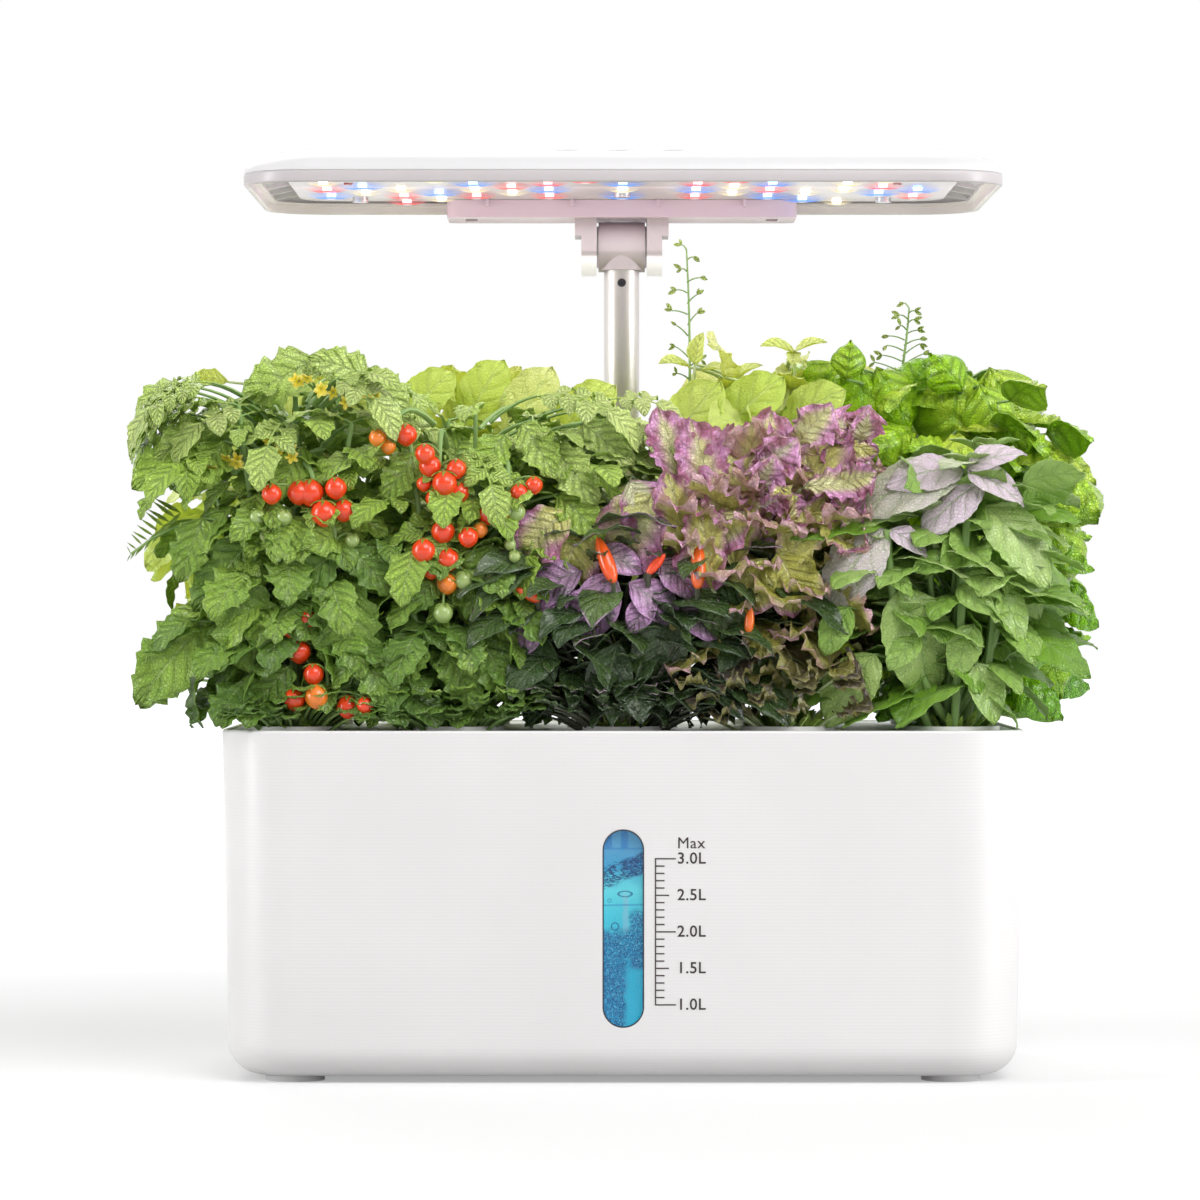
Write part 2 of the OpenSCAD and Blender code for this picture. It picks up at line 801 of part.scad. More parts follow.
// Two ears under the driver box, joined by a plate inside it
module tilt_bracket() {
    plate_z = box_z + box_wall;
    outer = ear_x + ear_t;
    color("white") difference() {
        union() {
            for (s = [-1, 1]) translate([s * (ear_x + ear_t / 2), pole_y, 0]) {
                translate([0, 0, pivot_z]) along_x(ear_r, ear_t);
                translate([-ear_t / 2, -ear_r, pivot_z])
                    cube([ear_t, 2 * ear_r, plate_z + plate_t - pivot_z]);
                translate([s * (ear_t / 2 + tab_t / 2), 0, box_z - tab_h / 2])
                    cube([tab_t + eps, 2 * ear_r, tab_h], center = true);
            }
            translate([-outer, pole_y - ear_r, plate_z]) cube([2 * outer, 2 * ear_r, plate_t]);
        }
        translate([0, pole_y, pivot_z]) along_x(bolt_r + fit, 4 * outer);
        for (s = [-1, 1]) translate([s * (outer - 1), pole_y, pivot_z])
            along_x(bolt_r + 1.7, 2.6);
        bracket_screw_places() translate([0, 0, plate_z - 1])
            cylinder(r = screw_r + fit, h = plate_t + 2);
    }
}

// The tilt bolt with its head and its nut, both sunk in the ears
module pivot_bolt() {
    outer = ear_x + ear_t;
    color("silver") translate([0, pole_y, pivot_z]) {
        along_x(bolt_r, 2 * outer - 2);
        for (s = [-1, 1]) translate([s * (outer - 1.2), 0, 0]) along_x(bolt_r + 1.5, 2);
    }
}

module switch_board() {
    color("darkgreen") {
        translate([-switch_w / 2, button_y - switch_d / 2, switch_z])
            cube([switch_w, switch_d, switch_t]);
        for (i = [-1:1]) translate([i * button_x - 1.5, button_y - 1.5, switch_z + switch_t - eps])
            cube([3, 3, tact_h]);
    }
}

module push_button(i) {
    flange_z = ceiling_z - clear - button_flange_t;
    stem_end = switch_z + switch_t + tact_h + button_travel + gap;
    color("gainsboro") translate([i * button_x, button_y, 0]) {
        translate([0, 0, flange_z]) cylinder(r = button_r, h = head_top + button_proud - flange_z);
        translate([0, 0, flange_z]) cylinder(r = button_r + button_flange, h = button_flange_t);
        translate([0, 0, stem_end]) cylinder(r = 1.2, h = flange_z - stem_end + eps);
    }
}

// ---- Pods ----------------------------------------------------------------

module basket(k) {
    slot_w = 3;
    color("white") translate([pod_x(k), pod_y(k), 0]) difference() {
        union() {
            translate([0, 0, deck_top + gap]) cylinder(r = collar_r, h = collar_h - gap);
            translate([0, 0, deck_top - basket_h])
                cylinder(r1 = basket_bottom_r, r2 = basket_r, h = basket_h + gap + eps);
        }
        translate([0, 0, deck_top - basket_h + basket_wall])
            cylinder(r1 = basket_bottom_r - basket_wall, r2 = basket_r - basket_wall,
                     h = basket_h + collar_h);
        for (a = [0, 90]) rotate([0, 0, a + 45])
            translate([-collar_r, -slot_w / 2, deck_top - basket_h + 5])
                cube([2 * collar_r, slot_w, basket_h - 14]);
        translate([0, 0, deck_top - basket_h - 1]) cylinder(r = 4, h = basket_wall + 2);
    }
}

// Peat plug that fills a basket; the stem stands on it
module peat_plug(k) {
    bottom = deck_top - basket_h + basket_wall + clear;
    r_low = basket_bottom_r - basket_wall - plug_wall_gap;
    r_high = basket_r - basket_wall - plug_wall_gap;
    color("saddlebrown") translate([pod_x(k), pod_y(k), bottom])
        cylinder(r1 = r_low, r2 = r_high - 0.3, h = plug_top - bottom);
}

// Outline of a leaf with a short stalk, from the origin along +X
function leaf_outline(len, wide) = concat(
    [[0, -1], [0, 1]],
    [for (i = [1:5]) [len * (0.12 + 0.88 * i / 6), wide / 2 * sin(180 * pow(i / 6, 0.8))]],
    [[len, 0]],
    [for (i = [5:-1:1]) [len * (0.12 + 0.88 * i / 6), -wide / 2 * sin(180 * pow(i / 6, 0.8))]]
);

// How far a plant may reach from its stem in direction a, in plan
function reach(k, a) =
    let (x = pod_x(k), y = pod_y(k), half = foliage_gap / 2,
         col = POD_SPOTS[k][0], row = POD_SPOTS[k][1],
         left = (col == -2 ? foliage_w / 2 + x : pitch_x / 2 - half),
         right = (col == 2 ? foliage_w / 2 - x : pitch_x / 2 - half),
         front = (row == 0 ? y + tank_d / 2 - 1 : y - row_split - half),
         back = (row == 0 ? row_split - half - y : tank_d / 2 - 1 - y))
    min(cos(a) > 0.01 ? right / cos(a) : cos(a) < -0.01 ? -left / cos(a) : 1000,
        sin(a) > 0.01 ? back / sin(a) : sin(a) < -0.01 ? -front / sin(a) : 1000);

// One leaf that grows from the stem in direction a, lifted by e and rolled
// about its own midrib
module leaf(a, e, roll, len, wide) {
    rotate([0, 0, a]) rotate([0, -e, 0]) rotate([roll, 0, 0]) translate([0, 0, -leaf_t / 2])
        linear_extrude(leaf_t) polygon(leaf_outline(len, wide));
}

// A stem with leaves in a spiral. The leaves stay inside the plant's own share
// of the deck, below top and above the rim. One leaf reaches the full way out
// to the side.
module plant(k, top, count, broad, low_angle, high_angle) {
    low = rim_z + leaf_start;
    stem_top = top - crown_h;
    roll = 38;
    side = POD_SPOTS[k][0] < 0 ? 180 : 0;
    translate([pod_x(k), pod_y(k), 0]) {
        translate([0, 0, plug_top + fit])
            cylinder(r1 = stem_foot_r, r2 = stem_top_r, h = stem_top + 2 - plug_top - fit);
        for (i = [0:count - 1]) {
            f = i / (count - 1);
            a = side + 60 + i * 137.5;
            e = low_angle + (high_angle - low_angle) * f;
            z = low + (stem_top - low) * f;
            drop = e < 0 ? (z - rim_z - leaf_clear) / sin(-e) : 1000;
            rise = e > 0 ? (top - z - 2) / sin(e) : 1000;
            len = min(0.9 * reach(k, a) / cos(e), drop, rise);
            wide = min(broad * len, 0.8 * reach(k, a + 90), 0.8 * reach(k, a - 90));
            translate([0, 0, z]) leaf(a, e, i % 2 == 0 ? roll : -roll, len, wide);
        }
        translate([0, 0, low + (top - low) * 0.45])
            leaf(side, 0, roll, reach(k, side), broad * 0.6 * reach(k, side));
    }
}

// Hanging stalk with fruit on both sides, in front of the stem
module fruit_truss(k, x, z, count, r) {
    step = r * 1.25;
    len = count * step;
    reach_y = 19;
    translate([pod_x(k), pod_y(k), z]) rotate([0, 0, x]) {
        rotate([90, 0, 0]) cylinder(r = 0.9, h = reach_y);
        translate([0, -reach_y, -len]) cylinder(r = 0.9, h = len + 0.9);
        for (i = [0:count - 1])
            translate([(i % 2 == 0 ? 1 : -1) * r * 0.85, -reach_y, -len + (i + 0.3) * step])
                sphere(r, $fn = 24);
    }
}

module tomato(k, top) {
    color("forestgreen") plant(k, top, 24, 0.8, -16, 50);
    color("tomato") for (i = [0:2])
        fruit_truss(k, -28 + 28 * i, rim_z + 40 + 20 * i, 4, tomato_r);
    peat_plug(k);
}

module chili_plant(k) {
    color("darkgreen") plant(k, chili_top, 18, 0.7, -8, 58);
    color("orangered") for (a = [-30, 35])
        translate([pod_x(k), pod_y(k), rim_z + 46]) rotate([0, 0, a - 90]) {
            rotate([0, 80, 0]) cylinder(r = 0.8, h = 19);
            translate([18, 0, 1]) cylinder(r1 = 4, r2 = 1, h = 20);
        }
    peat_plug(k);
}

module lettuce_plant(k) {
    color("mediumorchid") plant(k, lettuce_top, 20, 1, 6, 62);
    peat_plug(k);
}

module leafy_plant(k, top, shade) {
    color(shade) plant(k, top, 22, 0.95, -12, 54);
    peat_plug(k);
}

// ---- Assembly ------------------------------------------------------------

tank_shell();
window_lens();
window_gasket();
level_scale();
rubber_feet();
grow_deck();
refill_flap();
pole_socket();
socket_screws();
dc_jack();
mast_tube();
guide_bush();
pump_stem();
pump_body();
pump_cover();
impeller();
impeller_shaft();
pump_lead();
lamp_lead();
sliding_tube();
slide_plug();
tilt_knuckle();
set_screw();
friction_washers();
head_frame();
top_cover();
led_board();
leds_white();
leds_red();
leds_blue();
leds_infrared();
head_screws();
driver_box();
driver_pcb();
tilt_bracket();
pivot_bolt();
switch_board();
push_button(-1);  // power_button
push_button(0);  // light_button
push_button(1);  // pump_button
for (k = [0:8]) basket(k);
tomato(0, foliage_top);  // tomato_left
tomato(1, tomato_right_top);  // tomato_right
chili_plant(2);  // chili
lettuce_plant(3);  // lettuce
leafy_plant(4, basil_front_top, "seagreen");  // basil_front
leafy_plant(5, salad_top, "yellowgreen");  // salad_left
leafy_plant(6, salad_top, "yellowgreen");  // salad_right
leafy_plant(7, foliage_top, "limegreen");  // basil_rear_left
leafy_plant(8, salad_top, "limegreen");  // basil_rear_right
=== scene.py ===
# %% [markdown]
# # Dressing a countertop hydroponic garden
# The construction (tank, deck, pole, lamp) is already a solid model in a fixed frame.
# This lesson gives it its looks in small steps: first the camera and the lights, then the
# moulded shells, the water window, the lamp, and last the nine plants, leaf by leaf.
# Every length is written in millimetres and turned into metres when a piece is finished.

# %% Load the frame
import json
import math
import random

import bmesh
import bpy
import numpy
from mathutils import Matrix, Vector, noise
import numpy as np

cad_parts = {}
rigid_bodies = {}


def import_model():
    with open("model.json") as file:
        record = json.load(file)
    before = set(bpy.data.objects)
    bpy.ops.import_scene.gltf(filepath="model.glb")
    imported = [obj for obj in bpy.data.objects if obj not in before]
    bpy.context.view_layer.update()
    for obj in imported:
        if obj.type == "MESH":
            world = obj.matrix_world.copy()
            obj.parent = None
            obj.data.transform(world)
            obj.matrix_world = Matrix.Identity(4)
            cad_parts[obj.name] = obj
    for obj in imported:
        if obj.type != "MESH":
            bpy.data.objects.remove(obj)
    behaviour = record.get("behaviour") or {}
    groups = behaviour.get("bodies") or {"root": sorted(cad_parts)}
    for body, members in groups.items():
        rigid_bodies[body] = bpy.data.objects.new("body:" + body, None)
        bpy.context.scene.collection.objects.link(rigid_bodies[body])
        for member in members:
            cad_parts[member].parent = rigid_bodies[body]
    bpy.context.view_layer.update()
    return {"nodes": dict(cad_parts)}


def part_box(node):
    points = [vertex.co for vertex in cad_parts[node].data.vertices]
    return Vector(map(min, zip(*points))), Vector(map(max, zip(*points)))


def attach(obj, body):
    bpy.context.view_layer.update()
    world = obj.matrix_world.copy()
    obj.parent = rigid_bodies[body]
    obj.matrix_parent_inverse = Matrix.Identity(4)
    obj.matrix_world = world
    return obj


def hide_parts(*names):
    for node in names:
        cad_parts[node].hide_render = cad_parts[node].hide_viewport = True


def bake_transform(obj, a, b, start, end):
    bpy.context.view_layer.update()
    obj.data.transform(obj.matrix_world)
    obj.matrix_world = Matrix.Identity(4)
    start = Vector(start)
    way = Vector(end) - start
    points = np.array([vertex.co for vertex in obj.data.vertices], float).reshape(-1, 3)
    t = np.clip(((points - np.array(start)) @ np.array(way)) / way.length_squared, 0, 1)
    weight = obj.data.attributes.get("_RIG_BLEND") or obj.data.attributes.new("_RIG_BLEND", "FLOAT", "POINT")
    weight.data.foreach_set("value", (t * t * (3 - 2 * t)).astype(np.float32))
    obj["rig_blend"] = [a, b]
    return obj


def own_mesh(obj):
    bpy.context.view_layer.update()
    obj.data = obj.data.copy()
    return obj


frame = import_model()
MM = 0.001


def box_mm(*names):
    """Lowest and highest corner of some solids together, in millimetres."""
    corners = [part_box(name) for name in names]
    low = Vector([min(c[0][axis] for c in corners) for axis in range(3)])
    high = Vector([max(c[1][axis] for c in corners) for axis in range(3)])
    return low / MM, high / MM


def add_object(name, data):
    made = bpy.data.objects.new(name, data)
    bpy.context.scene.collection.objects.link(made)
    return made


def mesh_from(name, bm):
    """The mesh a bmesh holds. The bmesh is freed."""
    mesh = bpy.data.meshes.new(name)
    bm.to_mesh(mesh)
    bm.free()
    return mesh


def shown_mesh(thing):
    """The mesh an object shows: a cut piece, a text or a curve with its thickness."""
    bpy.context.view_layer.update()
    evaluated = thing.evaluated_get(bpy.context.evaluated_depsgraph_get())
    return bpy.data.meshes.new_from_object(evaluated)


def edges_of(verts):
    return list({edge for vert in verts for edge in vert.link_edges})


# %% [markdown]
# The camera looks level along +Y from nearly two metres away with a long lens, so the
# garden's front keeps its true proportions and only the lamp shows its underside.

# %% Camera
CAMERA_PLACE = (-7.8, -1830, 162.4)
LENS, SENSOR_WIDE = 156.9, 36
SIGHT_M = 50

camera = add_object("camera", bpy.data.cameras.new("camera"))
camera.location = Vector(CAMERA_PLACE) * MM
camera.rotation_euler = (math.pi / 2, 0, 0)
camera.data.lens = LENS
camera.data.sensor_width = SENSOR_WIDE
camera.data.clip_end = SIGHT_M
bpy.context.scene.camera = camera
bpy.context.scene.view_settings.view_transform = "Standard"

# %% [markdown]
# Shader maths reads best as plain Python. The small class below wraps the output of a
# shader node; adding or multiplying it adds the Math node that does so. A finish is a
# material under construction: its one method makes any other node.

# %% Shader helpers


class Value:
    """The output of a shader node, with arithmetic."""

    def __init__(self, finish, socket):
        self.finish = finish
        self.socket = socket

    def math(self, operation, *others):
        sockets = dict(enumerate((self, *others)))
        return self.finish.node("ShaderNodeMath", {"operation": operation}, sockets)

    def __add__(self, other):
        return self.math("ADD", other)

    def __sub__(self, other):
        return self.math("SUBTRACT", other)

    def __mul__(self, other):
        return self.math("MULTIPLY", other)

    def __truediv__(self, other):
        return self.math("DIVIDE", other)

    def __rsub__(self, other):
        return (self * -1) + other

    __radd__ = __add__
    __rmul__ = __mul__

    def step(self, low, high):
        """A smooth step from 0 below low to 1 above high."""
        settings = {"interpolation_type": "SMOOTHSTEP"}
        sockets = {"Value": self, "From Min": low, "From Max": high}
        return self.finish.node("ShaderNodeMapRange", settings, sockets)


class Finish:
    """A material under construction, or the world's own shader."""

    def __init__(self, name, world=None):
        self.material = world or bpy.data.materials.new(name)
        self.material.use_nodes = True
        self.tree = self.material.node_tree
        self.tree.nodes.clear()
        kind = "ShaderNodeOutputWorld" if world else "ShaderNodeOutputMaterial"
        self.output = self.tree.nodes.new(kind)

    def node(self, kind, settings=None, sockets=None, out=0):
        made = self.tree.nodes.new(kind)
        for key, value in (settings or {}).items():
            if key == "stops":
                self.set_stops(made.color_ramp, value)
            else:
                setattr(made, key, value)
        for key, value in (sockets or {}).items():
            self.feed(made.inputs[key], value)
        return Value(self, made.outputs[out])

    def feed(self, socket, value):
        if isinstance(value, Value):
            self.tree.links.new(value.socket, socket)
        elif isinstance(value, tuple) and len(value) == 3 and socket.type == "RGBA":
            socket.default_value = (*value, 1)
        else:
            socket.default_value = value

    def set_stops(self, ramp, stops):
        for place, _ in stops[len(ramp.elements):]:
            ramp.elements.new(place)
        for element, (place, color) in zip(ramp.elements, stops):
            element.position = place
            element.color = (*color, 1)

    def place(self, scale=(1, 1, 1)):
        """Where a point of the piece is, in metres, stretched by scale."""
        here = self.node("ShaderNodeTexCoord", out="Object")
        return self.node("ShaderNodeMapping", sockets={0: here, "Scale": scale})

    def axes(self, vector):
        """The three parts of a vector."""
        made = self.node("ShaderNodeSeparateXYZ", sockets={0: vector})
        return [Value(self, out) for out in made.socket.node.outputs]

    def noise(self, vector, scale, detail=3, rough=0.5):
        sockets = {"Vector": vector, "Scale": scale, "Detail": detail, "Roughness": rough}
        return self.node("ShaderNodeTexNoise", sockets=sockets)

    def cells(self, vector, scale, feature="F1"):
        sockets = {"Vector": vector, "Scale": scale}
        return self.node("ShaderNodeTexVoronoi", {"feature": feature}, sockets)

    def ramp(self, factor, *stops):
        return self.node("ShaderNodeValToRGB", {"stops": stops}, {0: factor})

    def mix(self, factor, first, second):
        """One colour turning into another as the factor goes from 0 to 1."""
        sockets = {0: factor, 6: first, 7: second}
        return self.node("ShaderNodeMix", {"data_type": "RGBA"}, sockets, out=2)

    def attribute(self, name):
        return self.node("ShaderNodeAttribute", {"attribute_name": name}, out="Fac")

    def bump(self, height, strength, depth_mm):
        sockets = {"Height": height, "Strength": strength, "Distance": depth_mm * MM}
        return self.node("ShaderNodeBump", sockets=sockets)

    def principled(self, **sockets):
        """The surface. Names of sockets are written with _ for a space."""
        named = {key.replace("_", " "): value for key, value in sockets.items()}
        return self.node("ShaderNodeBsdfPrincipled", sockets=named)

    def finish(self, shader):
        self.tree.links.new(shader.socket, self.output.inputs["Surface"])
        return self.material

    def plain(self, **sockets):
        """Ends a finish that is one principled surface and nothing more."""
        return self.finish(self.principled(**sockets))


# %% [markdown]
# A studio for a white object needs care: a white floor lit as brightly as the object would
# flatten it. Here the backdrop is white only for rays that show it directly, so the
# lamps can stay at a plain level and the floor still holds a soft shadow.

# %% Studio
WORLD_LIGHT = 0.42
FRONT_REFLECTED = 0.3
FLOOR_OWN_LIGHT = 0.34
FLOOR_NEAR, FLOOR_FAR, FLOOR_HALF = 0.4, 1.2, 12
FLOOR_GREY = (0.56, 0.56, 0.56)
WHITE = (1, 1, 1)


def shows_backdrop(finish):
    """1 for a ray that shows the backdrop itself: from the camera, a mirror or glass."""
    path = finish.node("ShaderNodeLightPath").socket.node.outputs
    seen = Value(finish, path["Is Camera Ray"]) + Value(finish, path["Is Glossy Ray"])
    return (seen + Value(finish, path["Is Transmission Ray"])).math("MINIMUM", 1)


def make_world():
    world = bpy.data.worlds.new("studio")
    bpy.context.scene.world = world
    finish = Finish("studio", world)
    _, depth, _ = finish.axes(finish.node("ShaderNodeTexCoord", out="Generated"))
    path = finish.node("ShaderNodeLightPath").socket.node.outputs
    dim = Value(finish, path["Is Glossy Ray"]) * (1 - depth.step(-0.8, -0.1)) * (1 - FRONT_REFLECTED)
    light = finish.node("ShaderNodeBackground", sockets={"Color": WHITE, "Strength": WORLD_LIGHT})
    white = finish.node("ShaderNodeBackground", sockets={"Color": WHITE, "Strength": 1 - dim})
    sockets = {0: shows_backdrop(finish), 1: light, 2: white}
    finish.finish(finish.node("ShaderNodeMixShader", sockets=sockets))


def make_floor():
    bm = bmesh.new()
    bmesh.ops.create_grid(bm, x_segments=1, y_segments=1, size=FLOOR_HALF)
    floor = add_object("floor", mesh_from("floor", bm))
    finish = Finish("floor_white")
    away = finish.node("ShaderNodeVectorMath", {"operation": "LENGTH"}, {0: finish.place()}, out="Value")
    far = away.step(FLOOR_NEAR, FLOOR_FAR)
    own = shows_backdrop(finish) * (far * (1 - FLOOR_OWN_LIGHT) + FLOOR_OWN_LIGHT)
    lit = finish.node("ShaderNodeBsdfDiffuse", sockets={"Color": FLOOR_GREY})
    glow = finish.node("ShaderNodeEmission", sockets={"Color": WHITE, "Strength": own})
    both = finish.node("ShaderNodeAddShader", sockets={0: lit, 1: glow})
    floor.data.materials.append(finish.finish(both))


def softbox(name, place, size, watts, faces=(0, 0, 150), color=WHITE):
    """A rectangular lamp, width by height in millimetres, that faces a point."""
    light = bpy.data.lights.new(name, "AREA")
    light.shape = "RECTANGLE"
    light.size, light.size_y = size[0] * MM, size[1] * MM
    light.energy = watts
    light.color = color
    lamp = add_object(name, light)
    lamp.location = Vector(place) * MM
    lamp.rotation_euler = (Vector(faces) - Vector(place)).to_track_quat("-Z", "Y").to_euler()


make_world()
make_floor()
softbox("key_above", (600, -1100, 1300), (1100, 900), 17)
softbox("strip_left", (-1500, -500, 330), (380, 1500), 18)
softbox("strip_right", (1500, -560, 330), (380, 1500), 16)
softbox("fill_back", (-300, 1300, 1200), (1200, 900), 12)
softbox("under_lamp", (0, -14, 297), (220, 110), 0.1, (0, -13, 0))
softbox("chip_glow", (0, -20, 302), (240, 6), 0.013, (0, 54, 296), (1, 0.72, 0.84))
softbox("hollow_glow", (0, -14, 288), (250, 130), 0.045, (0, -13, 400), (1, 0.9, 0.95))
for lamp in ("under_lamp", "chip_glow", "hollow_glow"):
    bpy.data.objects[lamp].visible_glossy = False
print("lamps:", sorted(lamp.name for lamp in bpy.data.lights))

# %% [markdown]
# Every new piece starts as a bmesh in millimetres. One function turns it into a finished
# piece: it scales the mesh to metres, shades it smooth up to a chosen angle, gives it its
# finish, sets it on the body it moves with, if it keeps to one, and hides the solids it
# stands for.

# %% Finished pieces


def make_piece(name, bm, material, body, stands_for=(), sharp=35):
    bmesh.ops.scale(bm, vec=(MM, MM, MM), verts=bm.verts)
    mesh = mesh_from(name, bm)
    mesh.shade_smooth()
    mesh.set_sharp_from_angle(angle=math.radians(sharp))
    mesh.materials.append(material)
    piece = add_object(name, mesh)
    if body:
        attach(piece, body)
    if stands_for:
        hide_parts(*stands_for)
    return piece


def cut_with(piece, cutter_bm):
    """Cuts a closed form, in millimetres, out of a piece."""
    bmesh.ops.scale(cutter_bm, vec=(MM, MM, MM), verts=cutter_bm.verts)
    bmesh.ops.recalc_face_normals(cutter_bm, faces=cutter_bm.faces)
    cutter = add_object("cutter", mesh_from("cutter", cutter_bm))
    boolean = piece.modifiers.new("cut", "BOOLEAN")
    boolean.operation = "DIFFERENCE"
    boolean.solver = "EXACT"
    boolean.object = cutter
    result = shown_mesh(piece)
    piece.modifiers.clear()
    piece.data = result
    bpy.data.objects.remove(cutter)


# %% [markdown]
# The tank and the lamp are rounded rectangles that change size with height. Such a loop
# starts as a circle whose four quarters are pulled apart to the corners. Two more points
# on each straight side, close to the arc, keep the flat walls flat when shaded smooth.

# %% Rounded loops
CORNER_STEPS = 14
SIDE_SUPPORT = 2.5
QUARTER_SIGNS = ((1, 1), (-1, 1), (-1, -1), (1, -1))


def round_loop(bm, wide, deep, radius, z, middle_y=0):
    """The edges of a rounded rectangle at height z."""
    points = CORNER_STEPS + 3
    ring = bmesh.ops.create_circle(bm, segments=4 * points, radius=1)["verts"]
    for i, vert in enumerate(ring):
        quarter, step = divmod(i, points)
        sign_x, sign_y = QUARTER_SIGNS[quarter]
        along = min(max(step - 1, 0), CORNER_STEPS) / CORNER_STEPS
        angle = math.radians(90 * (quarter + along))
        corner = Vector((sign_x * (wide / 2 - radius), sign_y * (deep / 2 - radius), z))
        vert.co = corner + radius * Vector((math.cos(angle), math.sin(angle), 0))
        if step in (0, points - 1):
            way = -1 if step == 0 else 1
            vert.co += way * SIDE_SUPPORT * Vector((-math.sin(angle), math.cos(angle), 0))
        vert.co.y += middle_y
    return edges_of(ring)


def loft(bm, loops, closed=False):
    """Joins each loop of edges to the next, and caps both ends of an open stack."""
    pairs = list(zip(loops, loops[1:]))
    if closed:
        pairs.append((loops[-1], loops[0]))
    for first, second in pairs:
        bmesh.ops.bridge_loops(bm, edges=first + second)
    if not closed:
        for end in (loops[0], loops[-1]):
            bmesh.ops.contextual_create(bm, geom=end)
    bmesh.ops.recalc_face_normals(bm, faces=bm.faces)


def arc(centre, radius, start, stop, steps):
    """Points (inset, height) on an arc; the angles are degrees from the +inset side."""
    angles = [math.radians(start + (stop - start) * i / steps) for i in range(steps + 1)]
    return [(centre[0] + radius * math.cos(a), centre[1] + radius * math.sin(a)) for a in angles]


# %% [markdown]
# Moulded white plastic isn't one flat colour: its tone drifts a little from place to
# place, its gloss varies, and a fine grain from the mould breaks up reflections. One
# function makes all the white parts, each with its own tint, gloss and grain. The tank
# also has a fine horizontal ribbing, made from a sine of the height; the same sine
# darkens the colour in step with the ribs, as painted shade. Some parts under the lamp
# carry painted light: a pink tint for the chips' cast, a brighter copy inside the hollow,
# and on the bracket a paler colour and a faint glow below a set height.

# %% Moulded plastics
GRAIN_PER_M = 2600
PAINTED_LIGHT_BLUR, PAINTED_LIGHT_COLOR, PAINTED_GLOW_COLOR = 0.8, (0.93, 0.92, 0.92), (0.3, 0.27, 0.33)


def moulded(name, tint, rough, grain, rib_pitch_mm=0, coat=0.0, drift=0.03, foot=None):
    """White or dark plastic. Below its foot's height a part gets painted light, a paler colour and a faint
    glow, standing in for the light of the board beside it.
    """
    finish = Finish(name)
    here = finish.place()
    cloud = finish.noise(here, 14, 4)
    darker = tuple(part * (1 - 2 * drift) for part in tint)
    color = finish.mix(cloud.step(0.3, 0.75), darker, tint)
    handled = finish.noise(here, 60, 5, 0.7).step(0.35, 0.7)
    height = finish.noise(here, GRAIN_PER_M, 2) * grain
    _, _, up = finish.axes(here)
    lit = 0.0
    # Painted light: below the foot's height the colour turns paler and glows faintly.
    if foot:
        lit = 1 - up.step((foot - PAINTED_LIGHT_BLUR) * MM, (foot + PAINTED_LIGHT_BLUR) * MM)
        color = finish.mix(lit, color, PAINTED_LIGHT_COLOR)
    if rib_pitch_mm:
        wave = (up * (2 * math.pi / (rib_pitch_mm * MM))).math("SINE")
        height = height + wave * 0.5
        # Painted shade: the colour darkens in step with the ribs.
        color = finish.mix(wave.step(-1, 1) * 0.5, color, darker)
    return finish.plain(
        Base_Color=color,
        Roughness=handled * 0.12 + rough,
        Normal=finish.bump(height, 0.25, 0.04),
        Coat_Weight=coat,
        Coat_Roughness=0.18,
        Emission_Color=finish.mix(lit, (0, 0, 0), PAINTED_GLOW_COLOR),
        Emission_Strength=1.0 if foot else 0.0,
    )


TANK_WHITE = moulded("tank_white", (0.79, 0.777, 0.776), 0.4, 0.1, rib_pitch_mm=1.15, coat=0.35)
DECK_WHITE = moulded("deck_white", (0.84, 0.84, 0.84), 0.45, 0.2)
BASKET_WHITE = moulded("basket_white", (0.82, 0.82, 0.81), 0.5, 0.2)
HEAD_WHITE = moulded("head_white", (0.72, 0.71, 0.72), 0.33, 0.12, coat=0.25)
# Painted light: a brighter, pinker copy of the head's plastic for faces inside the lamp's hollow.
HOLLOW_PAINTED_LIGHT = moulded("hollow_white", (0.92, 0.86, 0.88), 0.4, 0.12)
RIM_WHITE = moulded("rim_white", (0.56, 0.52, 0.53), 0.36, 0.12, coat=0.2)
# Painted light: the driver box, the knuckle and the bracket are white plastic tinted pink for the cast of the
# chips' light.
DRIVER_PINK_CAST = moulded("driver_white", (0.72, 0.585, 0.67), 0.4, 0.2)
JOINT_PINK_CAST = moulded("joint_white", (0.52, 0.46, 0.48), 0.42, 0.25)
BRACKET_PAINTED_LIGHT = moulded("bracket_white", (0.52, 0.46, 0.48), 0.42, 0.25, foot=285.7)
SLIDE_NYLON = moulded("slide_nylon", (0.72, 0.72, 0.71), 0.35, 0.3)
PUMP_PLASTIC = moulded("pump_plastic", (0.03, 0.032, 0.036), 0.45, 0.5, drift=0.15)
BUTTON_GREY = moulded("button_grey", (0.7, 0.71, 0.73), 0.32, 0.15, coat=0.3)
FOOT_RUBBER = moulded("foot_rubber", (0.74, 0.74, 0.74), 0.7, 0.6, drift=0.06)
SEAL_DARK = moulded("seal_dark", (0.03, 0.035, 0.05), 0.6, 0.5, drift=0.1)
LEAD_BLACK = moulded("lead_black", (0.025, 0.025, 0.027), 0.5, 0.4, drift=0.1)
SCALE_INK = moulded("scale_ink", (0.045, 0.028, 0.03), 0.6, 0.3, drift=0.1)
print("moulded finishes:", sum("_" in m.name for m in bpy.data.materials))

# %% [markdown]
# Metal: the sliding tube is brushed along its length and anodised a little warm. Brushing
# is a noise that is stretched along the tube and drives both roughness and bump. The
# screws are turned steel with faint rings.

# %% Metals


